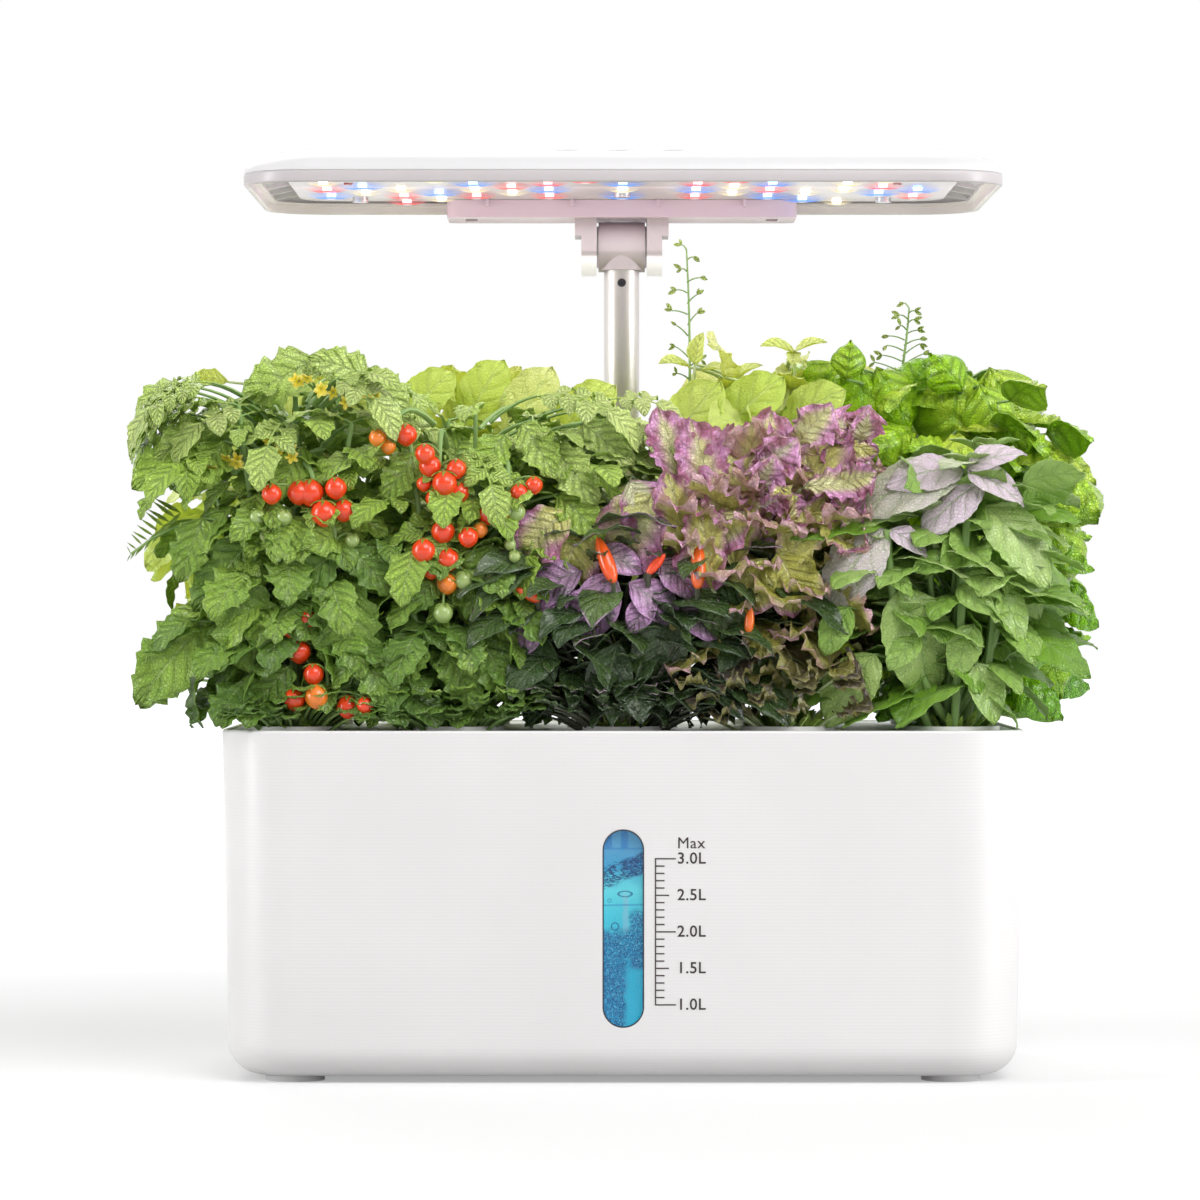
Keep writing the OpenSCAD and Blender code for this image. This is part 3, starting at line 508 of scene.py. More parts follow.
def brushed(name, color, rough, stretch=(1, 1, 0.02)):
    finish = Finish(name)
    here = finish.place(stretch)
    streaks = finish.noise(here, 3500, 3, 0.6)
    cloud = finish.noise(finish.place(), 25, 3).step(0.3, 0.7)
    duller = tuple(part * 0.86 for part in color)
    return finish.plain(
        Base_Color=finish.mix(cloud * 0.5 + streaks * 0.5, color, duller),
        Metallic=1.0,
        Roughness=streaks * 0.16 + rough,
        Normal=finish.bump(streaks, 0.15, 0.02),
    )


TUBE_METAL = brushed("tube_metal", (0.74, 0.7, 0.68), 0.36)
SCREW_STEEL = brushed("screw_steel", (0.62, 0.62, 0.64), 0.25, (1, 0.05, 1))
DARK_STEEL = brushed("dark_steel", (0.09, 0.085, 0.09), 0.35, (1, 0.05, 1))

# %% [markdown]
# The circuit boards are green laminate with copper tracks under the lacquer. The tracks
# are a brick pattern of thin lighter lines. The board under the lamp is white, so that it
# throws the light of its chips down, and it has the faint pink cast of those chips.

# %% Circuit boards


def circuit(name, lacquer, track, pitch_mm):
    finish = Finish(name)
    here = finish.place()
    settings = {"offset": 0.5, "squash": 0.7}
    sockets = {
        "Vector": here,
        "Scale": 1 / (pitch_mm * MM),
        "Mortar Size": 0.06,
        "Color1": lacquer,
        "Color2": tuple(part * 0.93 for part in lacquer),
        "Mortar": track,
    }
    tracks = finish.node("ShaderNodeTexBrick", settings, sockets)
    speckle = finish.noise(here, 900, 3)
    return finish.plain(
        Base_Color=finish.mix(speckle * 0.15, tracks, track),
        Roughness=speckle * 0.15 + 0.3,
        Normal=finish.bump(speckle, 0.1, 0.03),
        Coat_Weight=0.3,
    )


CIRCUIT_GREEN = circuit("circuit_green", (0.02, 0.16, 0.07), (0.09, 0.32, 0.14), 3)
BOARD_WHITE = circuit("board_white", (0.6, 0.55, 0.575), (0.56, 0.52, 0.54), 9)


def light_chip(name, lens, glow, strength):
    """A chip: a cloudy lens over a bright die."""
    finish = Finish(name)
    cloud = finish.noise(finish.place(), 700, 2).step(0.2, 0.8)
    return finish.plain(
        Base_Color=finish.mix(cloud * 0.3, lens, (1, 1, 1)),
        Roughness=cloud * 0.2 + 0.2,
        Emission_Color=finish.mix(cloud * 0.3, glow, (1, 1, 1)),
        Emission_Strength=strength,
    )


LIGHT_WHITE = light_chip("light_white", (1, 0.95, 0.85), (1, 0.93, 0.8), 9)
LIGHT_RED = light_chip("light_red", (1, 0.25, 0.25), (1, 0.12, 0.14), 9)
LIGHT_BLUE = light_chip("light_blue", (0.3, 0.5, 1), (0.1, 0.35, 1), 9)
LIGHT_INFRARED = light_chip("light_infrared", (0.25, 0.05, 0.05), (0.35, 0.03, 0.03), 0.3)

# %% [markdown]
# Solids whose shape is already right keep it and only get a finish. The table below says
# which finish each of them takes.

# %% Finishes of the solids
FINISHES = {
    "tank_shell": TANK_WHITE,
    "window_gasket": SEAL_DARK,
    "level_scale": SCALE_INK,
    "rubber_feet": FOOT_RUBBER,
    "grow_deck refill_flap pole_socket pump_stem": DECK_WHITE,
    "basket_1 basket_2 basket_3 basket_4 basket_5 basket_6 basket_7 basket_8 basket_9": BASKET_WHITE,
    "socket_screws impeller_shaft head_screws pivot_bolt": SCREW_STEEL,
    "dc_jack pump_body pump_cover": PUMP_PLASTIC,
    "mast_tube sliding_tube": TUBE_METAL,
    "guide_bush impeller slide_plug friction_washers": SLIDE_NYLON,
    "pump_lead lamp_lead": LEAD_BLACK,
    "set_screw": DARK_STEEL,
    "tilt_knuckle": JOINT_PINK_CAST,
    "tilt_bracket": BRACKET_PAINTED_LIGHT,
    "head_frame top_cover": HEAD_WHITE,
    "led_board": BOARD_WHITE,
    "leds_white": LIGHT_WHITE,
    "leds_red": LIGHT_RED,
    "leds_blue": LIGHT_BLUE,
    "leds_infrared": LIGHT_INFRARED,
    "driver_box": DRIVER_PINK_CAST,
    "driver_pcb switch_board": CIRCUIT_GREEN,
    "power_button light_button pump_button": BUTTON_GREY,
}


def dress(nodes, material):
    """Gives solids, whose names are parted by spaces, their finish."""
    for node in nodes.split():
        mesh = frame["nodes"][node].data
        mesh.materials.clear()
        mesh.materials.append(material)


for nodes, material in FINISHES.items():
    dress(nodes, material)
print("finished solids:", len(" ".join(FINISHES).split()))

# %% [markdown]
# The tank is a blow-moulded looking box: walls that lean in a little towards the base,
# round upright corners, a generous radius into the floor and a soft edge at the rim. It
# could be carved from a block, but a stack of rounded loops is simpler: the profile below
# lists how far each loop lies in from the rim's outline, and how high. It runs up the
# outside, over the rim, and down the inside with the ledge that carries the deck.

# %% Tank
tank_low, tank_high = box_mm("tank_shell")
TANK_WIDE, TANK_DEEP = tank_high.x - tank_low.x, tank_high.y - tank_low.y
RIM_Z, BASE_Z = tank_high.z, tank_low.z
TANK_CORNER, TANK_FILLET, TANK_DRAFT = 26, 10.5, 2.4
TANK_WALL, TANK_FLOOR, RIM_EDGE = 2.6, 3, 0.9
DECK_SKIRT = 6
DECK_Z = box_mm("grow_deck")[0].z + DECK_SKIRT
LEDGE, LEDGE_THICK, LEDGE_FALL = 3.4, 2.4, 0.1
DRAFT_ANGLE = math.atan(TANK_DRAFT / (RIM_Z - BASE_Z))
STADIUM_SIDES = 64


def lean(z):
    """How far the wall has leaned in at height z."""
    return TANK_DRAFT * (RIM_Z - z) / (RIM_Z - BASE_Z)


def tank_profile():
    outside = []
    for inset, z in arc((TANK_FILLET, BASE_Z + TANK_FILLET), TANK_FILLET, 270, 180, 8):
        outside.append((inset + lean(z), z))
    outside.append((lean(BASE_Z + TANK_FILLET + 3), BASE_Z + TANK_FILLET + 3))
    outside.append((lean(RIM_Z - RIM_EDGE - 1), RIM_Z - RIM_EDGE - 1))
    rim = arc((RIM_EDGE, RIM_Z - RIM_EDGE), RIM_EDGE, 180, 90, 4)
    rim += arc((TANK_WALL - RIM_EDGE, RIM_Z - RIM_EDGE), RIM_EDGE, 90, 0, 4)
    ledge = [(TANK_WALL, DECK_Z), (TANK_WALL + LEDGE, DECK_Z - LEDGE_FALL)]
    under = DECK_Z - LEDGE_THICK
    ledge += [(TANK_WALL + LEDGE, under), (TANK_WALL, under - LEDGE_FALL)]
    inner = TANK_FILLET - TANK_WALL
    floor = BASE_Z + TANK_FLOOR
    inside = []
    for inset, z in arc((TANK_WALL + inner, floor + inner), inner, 180, 270, 6):
        inside.append((inset + lean(z), z))
    return outside + rim + ledge + inside


def stadium(bm, wide, tall, matrix, levels):
    """Loops of a bar with round ends; a level is how far out it lies and how much it grows."""
    loops = []
    half_step = Matrix.Rotation(math.pi / STADIUM_SIDES, 3, "Z")
    for out, grow in levels:
        ring = bmesh.ops.create_circle(bm, segments=STADIUM_SIDES, radius=wide / 2 + grow)["verts"]
        bmesh.ops.rotate(bm, cent=(0, 0, 0), matrix=half_step, verts=ring)
        for vert in ring:
            vert.co.y += math.copysign((tall - wide) / 2, vert.co.y)
            vert.co.z = out
        bmesh.ops.transform(bm, matrix=matrix, verts=ring)
        loops.append(edges_of(ring))
    return loops


def on_front(z):
    """The frame of the front wall at height z: X along it, Y up it, Z out of it."""
    place = Matrix.Translation((0, -(TANK_DEEP / 2 - lean(z)), z))
    return place @ Matrix.Rotation(math.pi / 2 + DRAFT_ANGLE, 4, "X")


bm = bmesh.new()
loops = []
for inset, z in tank_profile():
    wide, deep = TANK_WIDE - 2 * inset, TANK_DEEP - 2 * inset
    loops.append(round_loop(bm, wide, deep, TANK_CORNER - inset, z))
loft(bm, loops)
tank = make_piece("tank", bm, TANK_WHITE, "tank", ["tank_shell"], 40)

WINDOW_WIDE, WINDOW_TALL, WINDOW_Z = 13.6, 66.2, 52.3
WINDOW_EDGE, WINDOW_CUT = 0.35, 8
bm = bmesh.new()
levels = (
    (-WINDOW_CUT, 0), (-WINDOW_EDGE, 0), (WINDOW_EDGE, 2 * WINDOW_EDGE),
    (WINDOW_CUT, WINDOW_CUT + WINDOW_EDGE),
)
loft(bm, stadium(bm, WINDOW_WIDE, WINDOW_TALL, on_front(WINDOW_Z), levels))
cut_with(tank, bm)
print("tank faces:", len(tank.data.polygons))

# %% [markdown]
# The window is a tinted lens in a dark seal. The lens solid is thin and clear, so what
# the eye sees is the water behind it: dark lines where the surface breaks, a bright
# falling stream and a crowd of bubbles. The water is a thin closed slab just behind the
# lens, with those things painted by height, and a small light of its own so that it
# glows as water lit from above does.

# %% Water behind the window
WATER_GROW = 0.9
WATER_NEAR, WATER_FAR = 2.9, 5.4


def water_finish():
    finish = Finish("window_blue")
    here = finish.place()
    across, _, up = finish.axes(here)
    height = up * (1 / MM)
    side = across * (1 / MM)
    swirl = finish.noise(here, 160, 4, 0.6) - 0.5
    coarse = finish.noise(here, 620, 3, 0.55)
    small = finish.noise(here, 1300, 3, 0.6)
    torn = finish.noise(finish.place((1, 1, 2.6)), 330, 4, 0.65)
    bubbles = finish.cells(here, 1100)

    def between(value, low, high, soft):
        return value.step(low, low + soft) * (1 - value.step(high - soft, high))

    def line(value, wide):
        return 1 - value.math("ABSOLUTE").step(wide * 0.4, wide)

    # Base: blue at the bottom, brightest below the surface, pale above it
    base = finish.ramp(
        (height + swirl * 8) / 100,
        (0.2, (0.03, 0.42, 0.62)), (0.42, (0.025, 0.4, 0.6)), (0.56, (0.06, 0.55, 0.68)),
        (0.66, (0.13, 0.66, 0.74)), (0.73, (0.04, 0.32, 0.56)), (0.79, (0.1, 0.34, 0.58)),
    )
    # Bubbles crowd in below the stream: at the left low down, at the right higher up
    edge = side + swirl * 7
    low_left = (1 - edge.step(-0.5, 2.5)) * (1 - height.step(40, 46))
    right = edge.step(0.8, 3.0) * between(height + swirl * 6, 37, 59, 3)
    middle = between(height + swirl * 6, 40, 53, 3)
    crowd = low_left.math("MAXIMUM", right).math("MAXIMUM", middle)
    color = finish.mix(crowd * 0.55, base, (0.02, 0.17, 0.42))
    spots = (1 - bubbles.step(0.12, 0.4)) * crowd
    color = finish.mix(spots * 0.65, color, (0.2, 0.66, 0.84))
    scribble = line(coarse - 0.5, 0.045).math("MAXIMUM", line(small - 0.5, 0.05))
    color = finish.mix(scribble * crowd * 0.8, color, (0.006, 0.04, 0.17))
    # The stream that falls from the pump's return, with a ring where it starts
    fall = 1 - (side - 0.7 + swirl * 2).math("ABSOLUTE").step(0.5, 1.4)
    color = finish.mix(fall * between(height, 50, 66, 3) * 0.35, color, (0.35, 0.5, 0.62))
    for x, z, wide, tall in ((0.6, 63.8, 2.3, 0.95), (-2.8, 52.9, 1.2, 1.25), (-4.6, 61.6, 0.6, 0.6)):
        ring = ((side - x) / wide).math("POWER", 2) + ((height - z) / tall).math("POWER", 2)
        color = finish.mix(line(ring - 1, 0.55) * 0.75, color, (0.008, 0.08, 0.24))
    # The torn surface, higher at the right
    rise = height - side * 0.35
    band = between(rise + swirl * 3, 67.5, 76, 1.5)
    lines = band * line(torn - 0.5, 0.07).math("MAXIMUM", line(coarse - 0.52, 0.05) * edge.step(-2, 1))
    color = finish.mix(band * edge.step(-2, 2) * 0.5, color, (0.012, 0.1, 0.32))
    color = finish.mix(lines * 0.9, color, (0.004, 0.02, 0.12))
    # Bars seen above the surface
    bars = line(side - 0.4, 1.7).math("MAXIMUM", line(side + 5.0, 1.7)) * height.step(78.9, 79.4)
    color = finish.mix(bars * 0.8, color, (0.03, 0.19, 0.5))
    marks = line(height - 79.0, 0.55).math("MAXIMUM", line(height - 60.1 - side * 0.02, 0.45))
    color = finish.mix(marks * 0.55, color, (0.03, 0.2, 0.48))
    return finish.plain(
        Base_Color=color,
        Roughness=0.25,
        Emission_Color=color,
        Emission_Strength=0.12,
        Normal=finish.bump(bubbles, 0.3, 0.3),
    )


def lens_finish():
    finish = Finish("window_lens")
    here = finish.place()
    dust = finish.noise(here, 300, 4, 0.7).step(0.4, 0.8)
    return finish.plain(
        Base_Color=finish.mix(dust * 0.3, (0.05, 0.4, 0.6), (0.3, 0.7, 0.9)),
        Roughness=dust * 0.08 + 0.06,
        Alpha=dust * 0.04 + 0.05,
        Coat_Weight=1.0,
        Coat_Roughness=0.04,
    )


bm = bmesh.new()
levels = ((-WATER_FAR, WATER_GROW), (-WATER_NEAR, WATER_GROW))
loft(bm, stadium(bm, WINDOW_WIDE, WINDOW_TALL, on_front(WINDOW_Z), levels))
make_piece("water_view", bm, water_finish(), "tank", sharp=30)

bm = bmesh.new()
rim = ((-0.29, 0.0), (-0.1, 0.14), (-0.1, -0.22), (-0.29, -0.28))
loft(bm, stadium(bm, WINDOW_WIDE, WINDOW_TALL, on_front(WINDOW_Z), rim), closed=True)
make_piece("window_outline", bm, SEAL_DARK, "tank", sharp=30)
dress("window_lens", lens_finish())

# %% [markdown]
# The scale's bars are a solid of their own. Only its plain numbers are missing: level
# marks in litres. A text object is set in Blender's own font, made a mesh, given a little
# thickness by its extrusion and laid on the leaning front wall.

# %% Level numbers
SCALE_TEXT_X = 18.0
TEXT_SIZE = 5.35
TEXT_BOLDER = 0.055
TEXT_RAISE = 0.06
TEXT_SPREAD = 1.06
SAME_POINT = 0.0005
LEVELS = (("1.0L", 26.8), ("1.5L", 39.05), ("2.0L", 51.3), ("2.5L", 63.55), ("3.0L", 75.8), ("Max", 80.9))


def printed(name, words, z):
    curve = bpy.data.curves.new(name, "FONT")
    curve.body = words
    curve.size = TEXT_SIZE
    curve.extrude = TEXT_RAISE
    curve.offset = TEXT_BOLDER if words[0].isdigit() else 0
    curve.space_character = TEXT_SPREAD
    curve.resolution_u = 4
    curve.align_y = "CENTER"
    maker = add_object(name, curve)
    bm = bmesh.new()
    bm.from_mesh(shown_mesh(maker))
    bpy.data.objects.remove(maker)
    bmesh.ops.remove_doubles(bm, verts=bm.verts, dist=SAME_POINT)
    out = Matrix.Translation((SCALE_TEXT_X, 0, TEXT_RAISE / 2))
    bmesh.ops.transform(bm, matrix=on_front(z) @ out, verts=bm.verts)
    make_piece(name, bm, SCALE_INK, "tank")


for number, (words, z) in enumerate(LEVELS):
    printed(f"level_number_{number + 1}", words, z)
print("level numbers:", len(LEVELS))

# %% [markdown]
# The lamp's head is a shallow tray turned upside down: an upright rim all round and a
# cover that curves in to a flat top. Both are lofted as the tank was. The rim's ring
# closes on itself, the cover runs from the ceiling down the inside and up the outside.

# %% Lamp head
rim_low, rim_high = box_mm("head_frame")
cover_low, cover_high = box_mm("top_cover")
HEAD_WIDE, HEAD_DEEP = rim_high.x - rim_low.x, rim_high.y - rim_low.y
HEAD_Y = (rim_high.y + rim_low.y) / 2
HEAD_CORNER, HEAD_WALL, HEAD_LIP = 22, 2.0, 4.4
SHOULDER = 18
SEAM = 0.35


def head_loop(bm, inset, z, taper):
    wide, deep = HEAD_WIDE - 2 * inset, HEAD_DEEP - 2 * inset
    return round_loop(bm, wide, deep, HEAD_CORNER - inset * taper, z, HEAD_Y)


def rim_profile():
    low, seam_z = rim_low.z, cover_low.z - 0.02
    points = arc((0.7, low + 0.7), 0.7, 270, 180, 4)
    points += [(0, seam_z - SEAM - 0.1), (SEAM / 2, seam_z - SEAM / 3), (SEAM, seam_z)]
    points += [(HEAD_LIP, seam_z - 0.03), (HEAD_LIP - 0.1, seam_z - 1.0), (HEAD_WALL, seam_z - 1.05)]
    points += [(HEAD_WALL - 0.05, low + 0.5), (HEAD_WALL - 0.5, low + 0.02)]
    return points


def cover_profile():
    base, rise = cover_low.z, cover_high.z - cover_low.z
    turns = [math.radians(a) for a in range(10, 91, 8)]
    inner = [
        (HEAD_WALL + SHOULDER * (1 - math.cos(a)), base + (rise - HEAD_WALL) * math.sin(a))
        for a in turns
    ]
    outer = [(SHOULDER * (1 - math.cos(a)), base + rise * math.sin(a)) for a in turns]
    foot = [(HEAD_WALL, base + 0.02), (SEAM, base), (0.02, base + SEAM)]
    return inner[::-1] + foot + outer


def head_shell(points, name, stands_for, closed, material, taper=1.0):
    """A shell of the head. Its corner shrinks by the taper's share of each loop's inset."""
    bm = bmesh.new()
    loops = [head_loop(bm, inset, z, taper) for inset, z in points]
    loft(bm, loops, closed)
    return make_piece(name, bm, material, "lamp", [stands_for], 30)


lamp_rim = head_shell(rim_profile(), "lamp_rim", "head_frame", True, RIM_WHITE).data
# Painted light: the rim's inward faces take the brighter, pinker copy; the outward faces keep the rim's own
# tint.
lamp_rim.materials.append(HOLLOW_PAINTED_LIGHT)
for face in lamp_rim.polygons:
    inward = Vector((0, HEAD_Y * MM, face.center.z)) - face.center
    face.material_index = int(face.normal.dot(inward) > 0)
cover = head_shell(cover_profile(), "lamp_cover", "top_cover", False, HEAD_WHITE, 0.6)

BUTTON_WIDE, BUTTON_PLAY, BUTTON_BEVEL = 9.6, 0.3, 0.6
for button in ("power_button", "light_button", "pump_button"):
    low, high = box_mm(button)
    middle = (low + high) / 2
    hole = min(high.x - low.x, BUTTON_WIDE) + 2 * BUTTON_PLAY
    bm = bmesh.new()
    at = Matrix.Translation((middle.x, middle.y, cover_high.z))
    levels = ((-6, 0), (-0.5, 0), (0.1, BUTTON_BEVEL), (3, BUTTON_BEVEL))
    loft(bm, stadium(bm, hole, hole, at, levels))
    cut_with(cover, bm)
print("lamp head:", round(HEAD_WIDE), "x", round(HEAD_DEEP), "mm, cover faces", len(cover.data.polygons))

# %% [markdown]
# Inside the hollow ends of the cover stand thin ribs, and the board hangs from round
# posts. They are drawn as tapered pins and as plates that are cut to the slope of the
# shoulder, a few tenths of a millimetre into the cover, where the mould would join them.

# %% Ribs and posts of the cover
board_low, board_high = box_mm("led_board")
RIB_THICK, RIB_PITCH = 1.2, 24
RIB_OUTER, RIB_INNER = 3.6, 0.6
RIB_TOP, RIB_SLOPE, RIB_LEAN = 2.6, 4.2, 2.4
RIB_FOOT, RIB_HEEL = 0.8, 2.0
POST_RADIUS, POST_TAPER = 2.6, 0.25
POST_SIDE, POST_FRONT, POST_REAR, POST_MIDDLE = 21.5, 13, 16, 39
DRIVER_RIBS_X = (-48, -17.8, 13, 43.8)
DRIVER_RIB = (1.1, 2.6, 2.4)


def rib(bm, side, y):
    """A gusset between the ceiling and the sloping end wall."""
    for vert in bmesh.ops.create_cube(bm, size=1)["verts"]:
        far, top = vert.co.x > 0, vert.co.z > 0
        x = HEAD_WIDE / 2 - RIB_OUTER if far else board_high.x + RIB_INNER
        z = cover_high.z - RIB_TOP if top else board_high.z + RIB_FOOT
        if far:
            x -= RIB_LEAN if top else 0
            z -= RIB_SLOPE if top else RIB_HEEL
        vert.co = (side * x, y + vert.co.y * RIB_THICK, z)


def post(bm, x, y):
    """A round pin from the board up into the ceiling."""
    low, high = board_high.z + 0.02, cover_high.z - HEAD_WALL + 0.3
    pin = bmesh.ops.create_cone(
        bm, cap_ends=True, segments=20, radius1=POST_RADIUS, radius2=POST_RADIUS + POST_TAPER,
        depth=high - low,
    )["verts"]
    bmesh.ops.translate(bm, vec=(x, y, (low + high) / 2), verts=pin)


bm = bmesh.new()
for side in (-1, 1):
    for step in range(-2, 3):
        rib(bm, side, HEAD_Y + RIB_PITCH * step)
bmesh.ops.recalc_face_normals(bm, faces=bm.faces)
front = board_low.y + POST_FRONT
for side in (-1, 1):
    for y in (front, board_high.y - POST_REAR):
        post(bm, side * (board_high.x - POST_SIDE), y)
for y in (front, board_high.y - POST_MIDDLE):
    post(bm, 0, y)
make_piece("cover_ribs", bm, HEAD_WHITE, "lamp", sharp=30)

box_low, _ = box_mm("driver_box")
bm = bmesh.new()
for x in DRIVER_RIBS_X:
    plate = bmesh.ops.create_cube(bm, size=1)["verts"]
    bmesh.ops.scale(bm, vec=DRIVER_RIB, verts=plate)
    bmesh.ops.translate(bm, vec=(x, box_low.y - 1.2, board_low.z - 1.25), verts=plate)
make_piece("driver_ribs", bm, DRIVER_PINK_CAST, "lamp", sharp=30)

# %% [markdown]
# The lamp's lead runs up the pole as a coil, so that it can stretch when the lamp is
# raised. A small ring is spun round the pole's axis and climbs by one pitch each turn. The
# coil bends from the deck at its foot to the pole at its top.

# %% Lamp lead
LEAD_THICK, LEAD_PITCH, TURN_STEPS = 2.8, 5.9, 16
lead_low, lead_high = box_mm("lamp_lead")
axis = (lead_low + lead_high) / 2
turns = math.floor((lead_high.z - lead_low.z - LEAD_THICK) / LEAD_PITCH)
start = Vector((lead_high.x - LEAD_THICK / 2, axis.y, lead_low.z + LEAD_THICK / 2))
bm = bmesh.new()
upright = Matrix.Translation(start) @ Matrix.Rotation(math.pi / 2, 4, "X")
bmesh.ops.create_circle(bm, segments=8, radius=LEAD_THICK / 2, matrix=upright)
bmesh.ops.spin(
    bm, geom=bm.verts[:] + bm.edges[:], cent=axis, axis=(0, 0, 1), dvec=(0, 0, LEAD_PITCH / TURN_STEPS),
    angle=2 * math.pi * turns, steps=turns * TURN_STEPS,
)
bmesh.ops.holes_fill(bm, edges=[edge for edge in bm.edges if edge.is_boundary])
bmesh.ops.recalc_face_normals(bm, faces=bm.faces)
lead = make_piece("lead_coil", bm, LEAD_BLACK, None, ["lamp_lead"], 60)
foot = Vector((axis.x, axis.y, lead_low.z))
top = Vector((axis.x, axis.y, lead_high.z))
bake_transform(lead, "deck", "pole", start=tuple(foot * MM), end=tuple(top * MM))
print("turns of the lamp's lead:", turns)

# %% [markdown]
# The chips shine so brightly that each throws a soft halo on the white board. Halos are
# shallow domes just under the board. They fade with the distance from their middle, and
# each kind of chip has its own colour.

# %% Halos of the chips
HALO_BELLY = 1.5
HALO_DROP, HALO_APART = 0.12, 0.05
HALO_SIDES, HALO_HEART = 28, 0.4


def halo_finish(name, color, strength):
    finish = Finish(name)
    spread = finish.attribute("halo")
    cloud = finish.noise(finish.place(), 90, 2).step(0.2, 0.9) * 0.12
    fade = (1 - spread.step(0.1, 1.0)).math("POWER", 0.9)
    return finish.plain(
        Base_Color=finish.mix(cloud, tuple(part * 0.1 for part in color), (0.2, 0.2, 0.2)),
        Roughness=0.6,
        Alpha=fade * 0.92,
        Emission_Color=finish.mix(spread.step(0.05, 0.3), (1, 1, 1), color),
        Emission_Strength=strength,
    )


def chips_of(node):
    """The middle of each chip in a node of loose chips."""
    bm = bmesh.new()
    bm.from_mesh(frame["nodes"][node].data)
    bmesh.ops.remove_doubles(bm, verts=bm.verts, dist=1e-6)
    middles, waiting = [], set(bm.verts)
    while waiting:
        group, edge_of = set(), [waiting.pop()]
        while edge_of:
            vert = edge_of.pop()
            group.add(vert)
            near = {edge.other_vert(vert) for edge in vert.link_edges} & waiting
            waiting -= near
            edge_of.extend(near)
        middles.append(sum((v.co for v in group), Vector()) / len(group) / MM)
    bm.free()
    return sorted(middles, key=lambda place: (round(place.x), round(place.y)))


def halos(name, node, color, layer, reach):
    """One dome under each chip of a node. Layers keep colours that overlap apart."""
    bm = bmesh.new()
    spread = bm.verts.layers.float.new("halo")
    for middle in chips_of(node):
        dome = []
        for share in (0.0, 0.25, 0.5, 0.75, 1.0):
            radius = share * reach if share else HALO_HEART
            ring = bmesh.ops.create_circle(bm, segments=HALO_SIDES, radius=radius, cap_ends=not share)
            for vert in ring["verts"]:
                vert[spread] = share
                vert.co.z = -HALO_BELLY * (1 - share**2)
            dome.append(ring["verts"])
        for inner, outer in zip(dome, dome[1:]):
            edges = [e for e in bm.edges if all(v in inner for v in e.verts) and len(e.link_faces) < 2]
            edges += [e for e in bm.edges if all(v in outer for v in e.verts)]
            bmesh.ops.bridge_loops(bm, edges=edges)
        drop = HALO_DROP + HALO_APART * layer
        verts = [vert for ring in dome for vert in ring]
        bmesh.ops.translate(bm, vec=(middle.x, middle.y, board_low.z - drop), verts=verts)
    for face in bm.faces:
        if face.normal.z > 0:
            face.normal_flip()
    piece = make_piece(name, bm, halo_finish(name, color, 1.0), "lamp")
    return len(piece.data.polygons)


faces = [
    halos("halo_white", "leds_white", (1.0, 0.85, 0.5), 0, 6.5),
    halos("halo_red", "leds_red", (1.0, 0.09, 0.1), 1, 8.5),
    halos("halo_blue", "leds_blue", (0.05, 0.3, 1.0), 2, 10),
]
print("halo faces:", faces)

# %% [markdown]
# The rest of the garden is alive. Every leaf starts as a small grid. Its width follows a
# sine whose power sets how blunt it is, teeth and lobes notch its edge, and its middle
# line bends down as a leaf's does under its own weight. A shallow keel, waves along the
# edge, bulges between the veins and a little crumple make it catch the light. Last it
# gets a real thickness, so it is a closed shell. Each blade is made once and then set down
# many times. A copy that pokes out of the garden is squeezed back towards its foot, one in
# the pole's way bends round it, and one in the swing of the deck's flap is left out.

# %% Leaf blades
LEAF_THICK, SPINE_RADIUS = 0.32, 0.55
FOOT_WIDTH = 0.03
CRUMPLE_SCALE = 0.22
mast_low, mast_high = box_mm("mast_tube")
flap_low, flap_high = box_mm("refill_flap")
POLE_Y = (mast_low.y + mast_high.y) / 2
POLE_CLEAR = (mast_high.x - mast_low.x) / 2 + 1.2
POLE_CORE = 4.5
SHORTEST_REACH, LEAST_KEPT = 0.1, 0.12
FLAP_SIDE = flap_high.x + 2
FLAP_SWING = flap_high.y - flap_low.y + 1.5


def rise_of(z):
    return Vector((0, 0, z))


def on_circle(angle, radius=1, z=0):
    return Vector((math.cos(angle) * radius, math.sin(angle) * radius, z))


def part_way(pair, share):
    """A value on the way from the first of a pair to the second."""
    return pair[0] + (pair[1] - pair[0]) * share


def leaf_bmesh():
    """An empty bmesh with the layers that the finishes of plants read."""
    bm = bmesh.new()
    bm.loops.layers.uv.new("leaf")
    bm.verts.layers.float.new("tint")
    bm.verts.layers.float.new("under")
    return bm


